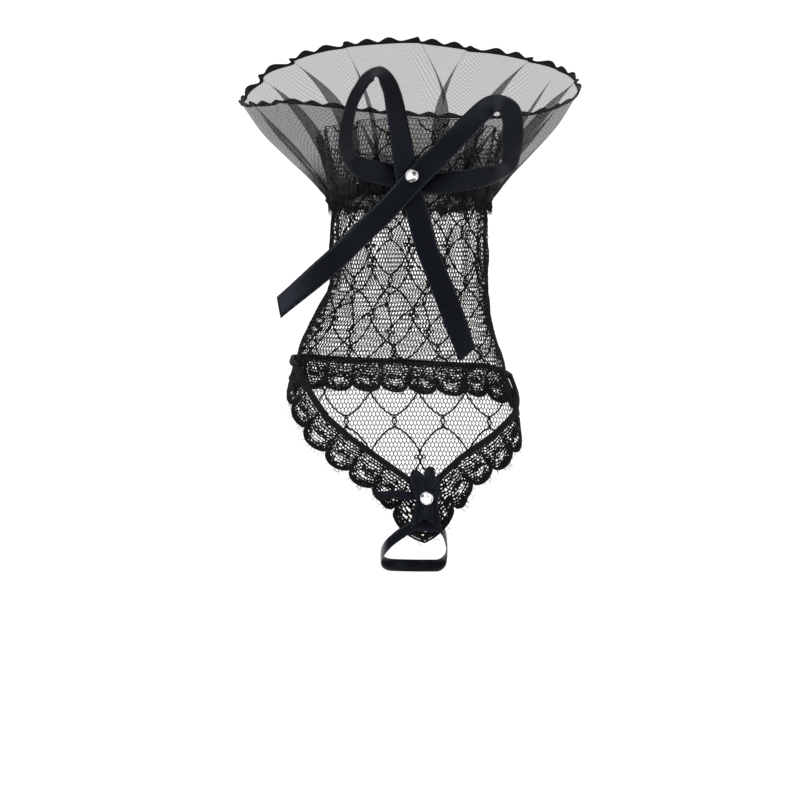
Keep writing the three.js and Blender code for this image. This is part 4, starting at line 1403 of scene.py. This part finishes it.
    def lashes(self) -> bpy.types.Object:
        """Scatter fine loose thread ends along the outline."""
        random = np.random.default_rng(7)
        count, steps = 460, 4
        along = random.random(count)
        length = random.uniform(0.8, 2.2, count)
        sway = random.uniform(-0.004, 0.004, count)
        t = np.linspace(0, 1, steps)
        rim = self.reach(along)
        a = (along[:, None] + sway[:, None] * t[None, :] ** 2).ravel()
        below = (rim[:, None] + length[:, None] * t[None, :]).ravel()
        out = (0.5 * random.normal(size=count)[:, None] * t[None, :]).ravel()
        return self.wardrobe.weave("border_lashes", self.form.hem(a, below, out),
                                   path_edges(count, steps), 0.1, 3, self.wardrobe.net)

    def braid(self) -> bpy.types.Object:
        """Plait three cords along the hem."""
        turns = round(self.form.hem_length / self.braid_pitch)
        steps = turns * 12
        along = np.arange(steps) / steps
        points, edges, swell = [], [], []
        for strand in range(3):
            angle = TAU * (turns * along + strand / 3)
            below = self.seam / 2 + 0.5 * np.sin(angle)
            points.append(self.form.hem(along, below, 1.15 + 0.3 * np.sin(2 * angle)))
            swell.append(1 + 0.36 * np.abs(np.sin(angle)))
            edges.append(ring_edges(steps, strand * steps))
        return self.wardrobe.weave("hem_braid", np.concatenate(points), np.concatenate(edges),
                                   0.8, 6, self.wardrobe.braid, swell=np.concatenate(swell))

    def build(self) -> None:
        """Make the border and the braid."""
        for piece in (self.net(), *self.cords(), self.lashes()):
            report(piece, "border_lace", "hem_trim")
        report(self.braid(), "braid", "hem_band")


@dataclass
class Gathers:
    """The crumpled tulle that covers the elastic, with loose thread ends."""

    form: HandForm
    wardrobe: Wardrobe
    columns: int = 1800
    rows: int = 12
    tulle_wall: float = 0.3
    side_flare: float = 0.7
    front_drop: float = 2.4
    side_drop: float = 1.2
    threads: int = 1700
    thread: float = 0.13

    def uneven(self, seed: int, count: int, around: np.ndarray) -> np.ndarray:
        """Give an uneven wave of about one unit round the gathers.

        Args:
            seed: Number that fixes the wave.
            count: How many pleats it has all the way round.
            around: Shares of the way round.

        Returns:
            The wave's heights.
        """
        heights = np.random.default_rng(seed).normal(size=count)
        return np.interp(wrap(around) * count, np.arange(count + 1), np.append(heights, heights[0]))

    def waves(self, table: tuple, around: np.ndarray) -> np.ndarray:
        """Add up the uneven waves of a table."""
        return sum(size * self.uneven(seed, count, around) for seed, count, size in table)

    def low_edge(self, around: np.ndarray) -> np.ndarray:
        """Give the height of the ragged lower edge, lower in front and at the sides."""
        side = np.sin(TAU * around) ** 2
        near = np.clip(0.5 + 0.8 * np.cos(TAU * around), 0, 1)
        ragged = np.clip(1.3 * self.waves(LOW_WAVES, around), -1.3, 1.3)
        return 1.0 - self.front_drop * near - self.side_drop * side - ragged

    def band(self) -> bpy.types.Object:
        """Crumple the tulle that is sewn over the elastic into tight uneven pleats."""
        form = self.form
        a, s = np.meshgrid(np.arange(self.columns) / self.columns, np.linspace(0, 1, self.rows),
                           indexing="ij")
        middle = form.cloth_wall / 2 + form.layer_gap + form.elastic_wall / 2
        top = form.elastic_rise + 0.9 + np.clip(self.waves(TOP_WAVES, a), -1.4, 2.6)
        height = top + (self.low_edge(a) - top) * s
        drifting = a + 0.004 * self.uneven(4, 40, a) * s
        pleat = 0.34 * self.uneven(5, 300, drifting)
        pleat = pleat + 0.28 * self.uneven(6, 110, drifting + 0.002 * s)
        flare = self.side_flare * (1 - s) ** 2 * np.sin(TAU * a) ** 2
        out = middle * (1 - 0.72 * s ** 1.5) + flare + 0.25 * np.sin(np.pi * s)
        out = out + np.clip(pleat, -0.6, 0.9) * (1 - 0.4 * s)
        points = form.cloth(a.ravel(), np.zeros(a.size), out.ravel()).reshape(*a.shape, 3)
        points[..., 2] = height
        return wall_piece("gathered_elastic", points, self.tulle_wall, True, self.wardrobe.elastic)

    def loose_threads(self) -> bpy.types.Object:
        """Let thread ends hang from the gathers."""
        random = np.random.default_rng(11)
        count, steps = self.threads, 4
        around = random.random(count)
        length = 0.6 + 2.4 * random.random(count) ** 2
        slant = random.normal(0, 0.006, count)
        lift = random.uniform(0.0, 0.7, count)
        t = np.linspace(0, 1, steps)
        start = self.low_edge(around) + 0.8
        a = (around[:, None] + slant[:, None] * t[None, :] ** 1.5).ravel()
        height = (start[:, None] - length[:, None] * t[None, :]).ravel()
        out = (1.0 + lift[:, None] * np.sin(2.6 * t[None, :])).ravel()
        points = self.form.cloth(a, np.zeros(len(a)), out)
        points[:, 2] = height
        return self.wardrobe.weave("gather_threads", points, path_edges(count, steps),
                                   self.thread, 3, self.wardrobe.net)

    def build(self) -> None:
        """Make the puckered band with its loose threads."""
        for piece in (self.band(), self.loose_threads()):
            report(piece, "elastic", "wrist_elastic")


@dataclass
class Bows:
    """The ribbon bow on the gathers, the small bow on the point and the loop below it."""

    form: HandForm
    ruffle: Ruffle
    wardrobe: Wardrobe
    ribbon_width: float = 7.0
    ribbon_wall: float = 0.4
    span: float = 50.0
    tail: float = 52.0
    aside: float = 0.6
    up: float = 2.1
    clearance: float = 1.9
    layer_step: float = 1.45
    loop_radius: float = 10.1
    loop_width: float = 3.8
    loop_drop: float = 11.4
    loop_fall: float = 10.5
    loop_lift: float = 1.4
    loop_forward: float = 1.9
    loop_length: float = 64.0
    tip_wall: float = 0.34
    tip_size: tuple[float, float] = (9.0, 6.0)
    tip_steps: tuple[int, int] = (15, 9)
    stone_half: float = 2.0
    stone_height: float = 1.7

    def front_at(self, height: float) -> float:
        """Give the depth of the foremost cloth behind the bow at a height."""
        ruffle, form = self.ruffle, self.form
        up = (height - ruffle.foot) / (ruffle.height - ruffle.foot)
        if up > 0:
            flare = float(np.interp(up, RUFFLE_PROFILE[:, 0], RUFFLE_PROFILE[:, 1]))
            return -(blend(form.wrist_depth / 2 + ruffle.foot_gap, ruffle.front, flare)) - 0.5
        section = form.sections(np.array([min(0.0, height)]))[0]
        return -section[1] - form.cloth_wall - form.layer_gap - form.elastic_wall

    def ribbon_points(self, steps: int, across: int) -> np.ndarray:
        """Walk the ribbon's bends.

        Args:
            steps: Steps along the ribbon.
            across: Points across it.

        Returns:
            Middle points as steps by across by three.
        """
        centres, turns, leans = [], [], []
        for is_tail, x, z, turn, lean, front, layer in BOW_BENDS:
            size = self.tail if is_tail else self.span
            height = self.up + z * size
            forward = self.clearance + layer * self.layer_step + front * self.ribbon_width
            centres.append((self.aside + x * size, self.front_at(height) - forward, height))
            turns.append(math.radians(turn))
            leans.append(math.radians(lean))
        rail = np.array(centres)
        last = len(rail) - 1
        at = np.linspace(0, last, steps)
        low = np.minimum(at.astype(int), last - 1)
        t = (at - low)[:, None]
        padded = np.concatenate([[2 * rail[0] - rail[1]], rail, [2 * rail[-1] - rail[-2]]])
        p0, p1, p2, p3 = (padded[low + i] for i in range(4))
        middle = 0.5 * (2 * p1 + (p2 - p0) * t + (2 * p0 - 5 * p1 + 4 * p2 - p3) * t ** 2
                        + (3 * p1 - p0 - 3 * p2 + p3) * t ** 3)
        ease = (t * t * (3 - 2 * t))[:, 0]
        turn = np.array(turns)[low] * (1 - ease) + np.array(turns)[low + 1] * ease
        lean = np.array(leans)[low] * (1 - ease) + np.array(leans)[low + 1] * ease
        arm = np.stack([np.cos(lean) * np.cos(turn), np.sin(lean), np.cos(lean) * np.sin(turn)], 1)
        side = np.linspace(1, -1, across) * self.ribbon_width / 2
        return middle[:, None, :] + arm[:, None, :] * side[None, :, None]

    def ribbon(self, name: str, points: np.ndarray, joined: bool,
               finish: SatinFinish) -> bpy.types.Object:
        """Make a ribbon with thinner edges from its middle points.

        Args:
            name: The piece's name.
            points: Middle points as steps by across by three.
            joined: Whether the ribbon's ends meet.
            finish: The ribbon's finish.

        Returns:
            The finished ribbon.
        """
        steps, across, _ = points.shape
        profile = np.ones(across)
        profile[[0, -1]] = 0.6
        made = wall_piece(name, points, self.ribbon_wall * profile, joined, finish.make())
        strip_uv(made.data, steps, across)
        shade_smooth(made.data)
        return made

    def stone(self, name: str, centre: np.ndarray) -> bpy.types.Object:
        """Cut a round stone with a table, a ring of main facets and two rings of small ones."""
        half, tall, sides = self.stone_half, self.stone_height, 16
        points = [(0.0, 0.0, 0.0)]
        for wide, up, shift in STONE_RINGS:
            for i in range(sides):
                angle = TAU * (i + shift) / sides
                points.append((half * wide * math.sin(angle), -tall * up,
                               half * wide * math.cos(angle)))
        base, girdle, star, table = (1 + row * sides for row in range(len(STONE_RINGS)))
        faces = []
        for i in range(sides):
            j = (i + 1) % sides
            faces += [[0, base + j, base + i],
                      [base + i, base + j, girdle + j, girdle + i],
                      [girdle + i, girdle + j, star + i],
                      [girdle + j, star + j, star + i],
                      [star + i, star + j, table + j],
                      [star + i, table + j, table + i]]
        faces.append([table + i for i in range(sides)])
        mesh = mesh_from(name, np.array(points) + centre, faces)
        mesh.materials.append(self.wardrobe.crystal)
        made = place(mesh, name)
        face_outward(made)
        return made

    def loop(self) -> bpy.types.Object:
        """Bend the ribbon of the loop, drawn forward and up where it meets the small bow."""
        steps, across = 160, 5
        turn = np.arange(steps) / steps
        angle = turn * TAU
        share = smooth_table(LOOP_FALLS[:, 0], LOOP_FALLS[:, 1], turn)
        near_bow = np.clip((np.cos(angle) - 0.1) / 0.55, 0, 1)
        fall = self.loop_fall * share - self.loop_lift * (1 - share) ** 2
        back = blend(self.loop_radius * (1 - np.cos(angle)), -self.loop_forward, near_bow)
        tip = self.form.reach + self.loop_drop
        front = float(self.form.cloth(np.zeros(1), np.array([-tip]), np.zeros(1))[0, 1]) + 0.8
        side = np.linspace(1, -1, across) * self.loop_width / 2
        points = grid_of(self.loop_radius * np.sin(angle)[:, None], back[:, None],
                         side[None, :] - fall[:, None])
        return self.ribbon("finger_ribbon", points + np.array([1.3, front + 0.4, -tip]), True,
                           SatinFinish("polyester_satin_loop", self.loop_length, self.loop_width))

    def tip_ears(self, t: np.ndarray, s: np.ndarray) -> list[np.ndarray]:
        """Spread the small bow's ears above its knot, each with a crinkle along it."""
        ears = []
        for lean, length, wide in TIP_EARS:
            half = wide * (0.5 + 0.5 * np.sin(np.pi * (0.1 + 0.6 * t))) * (1 - 0.62 * t ** 6)
            angle = math.radians(lean)
            lift = 0.5 + 0.9 * np.sin(np.pi * t) + 0.25 * np.cos(5 * s + lean)
            ears.append(grid_of(length * t * math.sin(angle) + half * s * math.cos(angle),
                                0.75 * np.abs(s) * t - lift,
                                length * t * math.cos(angle) - half * s * math.sin(angle)))
        return ears

    def tip_folds(self, t: np.ndarray, s: np.ndarray) -> list[np.ndarray]:
        """Hang the two pleated folds of the small bow's body below its knot."""
        folds = []
        for side, drop, swing in TIP_FOLDS:
            half = 1.5 + 1.2 * t ** 0.8
            lift = 0.55 + 0.5 * np.sin(np.pi * t) + (0.25 + 0.45 * t) * np.cos(6.5 * s + side)
            folds.append(grid_of(side * 1.1 + swing * t + half * s, -lift,
                                 2.4 - (drop + 2.4 + 1.8 * (s * side - 1) * t) * t))
        return folds

    def tip_strand(self, t: np.ndarray, s: np.ndarray) -> np.ndarray:
        """Lay the small bow's long strand to the left, its end curled up."""
        curl = np.clip((t - 0.82) / 0.18, 0, 1)
        half = 0.9 + 0.4 * np.sin(np.pi * t)
        return grid_of(0.2 - 16.8 * t - 0.3 * s * t,
                       -0.5 + 0.35 * np.sin(7 * t) + 0.3 * s * np.cos(5 * t),
                       0.3 + 0.8 * np.sin(2.6 * t) + half * s + 2.0 * curl ** 2)

    def tip_wrap(self, t: np.ndarray, s: np.ndarray) -> np.ndarray:
        """Bend the short wrap over the middle of the small bow."""
        bulge = 0.75 * np.sqrt(np.maximum(0, 1 - (2 * t - 1) ** 2))
        return grid_of(1.7 * s + 0 * t, -0.9 - bulge + 0.3 * s ** 2,
                       3.0 * (t - 0.5) + 0.3 * np.sin(3 * s))

    def tip_bow(self) -> bpy.types.Object:
        """Fold the small bow: ears above its knot, a body below and a strand to the left."""
        form = self.form
        hem = form.cloth(np.array([form.point_share]), np.array([-form.reach]), np.zeros(1))[0]
        knot = hem + np.array([1.0, -2.2, -2.2])
        steps, across = self.tip_steps
        t, s = np.linspace(0, 1, steps)[:, None], np.linspace(-1, 1, across)[None, :]
        sheets = [*self.tip_ears(t, s), *self.tip_folds(t, s), self.tip_strand(t, s),
                  self.tip_wrap(t, s)]
        points, faces, count = [], [], 0
        for sheet in sheets:
            both, quads = walled(sheet + knot, self.tip_wall, False)
            points.append(both)
            faces.append(quads + count)
            count += len(both)
        mesh = mesh_from("satin_tip_bow", np.concatenate(points), np.concatenate(faces))
        strip_uv(mesh, steps, across)
        mesh.materials.append(SatinFinish("polyester_satin_tip", *self.tip_size).make())
        made = place(mesh, "satin_tip_bow")
        face_outward(made)
        shade_smooth(mesh)
        return made

    def build(self) -> None:
        """Make the bows, the loop and the stones."""
        report(self.tip_bow(), "satin", "tip_bow")
        points = self.ribbon_points(900, 9)
        length = float(np.linalg.norm(np.diff(points[:, 4], axis=0), axis=1).sum())
        LOG.info("ribbon length %.0f mm", length)
        finish = SatinFinish("polyester_satin_bow", length, self.ribbon_width)
        report(self.ribbon("satin_bow", points, False, finish), "satin", "bow_ribbon")
        report(self.loop(), "satin", "finger_loop")
        for node, name in (("bow_stone", "bow_crystal"), ("tip_stone", "tip_crystal")):
            low, high = (np.array(corner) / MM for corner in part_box(node))
            middle = (low + high) / 2
            seat = np.array([middle[0], high[1], middle[2]])
            report(self.stone(name, seat), "crystal", node)


@dataclass
class Studio:
    """A white floor and backdrop, soft lights and the camera."""

    lens: float = 84.96
    distance: float = 0.59
    tilt: float = 6.0
    target: tuple[float, float, float] = (-0.003, 0.0, -0.0628)
    floor: float = -0.2

    def build(self) -> None:
        """Make the stage, the lights and the camera."""
        self.backdrop()
        self.lights()
        self.camera()

    def backdrop(self) -> None:
        """Bend one sheet of paper from the floor up behind the object."""
        profile = [(-1.6, self.floor)]
        radius, turn = 0.5, 12
        for step in range(turn + 1):
            angle = math.pi / 2 * step / turn
            profile.append((0.7 + radius * math.sin(angle),
                            self.floor + radius * (1 - math.cos(angle))))
        profile.append((0.7 + radius, 2.2))
        points = [(x, y, z) for y, z in profile for x in (-2.5, 2.5)]
        faces = [[2 * i, 2 * i + 1, 2 * i + 3, 2 * i + 2] for i in range(len(profile) - 1)]
        mesh = bpy.data.meshes.new("backdrop")
        mesh.from_pydata(points, [], faces)
        mesh.materials.append(PaperFinish().make())
        shade_smooth(mesh)
        place(mesh, "backdrop")
        bpy.context.scene.view_settings.view_transform = "Standard"

    def lights(self) -> None:
        """Set a surround that is brighter above, two soft lights and one for the backdrop."""
        world = bpy.data.worlds.new("studio")
        world.use_nodes = True
        tree = world.node_tree
        tree.nodes.clear()
        way = add_node(tree, "ShaderNodeTexCoord")
        split = add_node(tree, "ShaderNodeSeparateXYZ", inputs={0: way.outputs["Generated"]})
        surround = add_node(tree, "ShaderNodeBackground", inputs={
            "Color": linear("#ffffff"),
            "Strength": map_range(tree, split.outputs["Z"], (-0.4, 0.6), (0.3, 0.75))})
        add_node(tree, "ShaderNodeOutputWorld", inputs={"Surface": surround.outputs[0]})
        bpy.context.scene.world = world
        centre, wall = (0.0, 0.0, -0.03), (0.0, 1.2, 0.1)
        for name, place_at, size, power, toward in (
                ("key", (-0.45, -0.75, 0.55), 0.35, 4.0, centre),
                ("fill", (0.8, -0.6, 0.1), 0.5, 1.5, centre),
                ("wall", (0.0, 0.15, 1.1), 1.5, 9.0, wall)):
            lamp = bpy.data.lights.new(name, "AREA")
            lamp.size = size
            lamp.energy = power
            thing = bpy.data.objects.new(name, lamp)
            thing.location = place_at
            thing.rotation_euler = aim(place_at, toward)
            bpy.context.scene.collection.objects.link(thing)

    def camera(self) -> None:
        """Look slightly up from in front, as the photograph does."""
        angle = math.radians(self.tilt)
        camera = bpy.data.cameras.new("camera")
        camera.lens = self.lens
        camera.sensor_width = 36.0
        camera.clip_start = 0.01
        thing = bpy.data.objects.new("camera", camera)
        x, y, z = self.target
        thing.location = (x, y - self.distance * math.cos(angle),
                          z - self.distance * math.sin(angle))
        thing.rotation_euler = (math.pi / 2 + angle, 0.0, 0.0)
        bpy.context.scene.collection.objects.link(thing)
        bpy.context.scene.camera = thing


def aim(start: tuple[float, float, float],
        end: tuple[float, float, float]) -> tuple[float, float, float]:
    """Give the turn that points a lamp from one place to another."""
    x, y, z = (b - a for a, b in zip(start, end))
    return (math.atan2(math.hypot(x, y), -z), 0.0, math.atan2(x, -y) + math.pi)


def main() -> None:
    """Build the cuff piece by piece."""
    logging.basicConfig(level=logging.INFO, format="%(name)s %(message)s")
    form = HandForm()
    wardrobe = Wardrobe()
    LaceNet(form, wardrobe).build()
    ruffle = Ruffle(form, wardrobe)
    ruffle.build()
    Gathers(form, wardrobe).build()
    HemBorder(form, wardrobe).build()
    Bows(form, ruffle, wardrobe).build()
    Studio().build()
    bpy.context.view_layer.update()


if __name__ == "__main__":
    main()
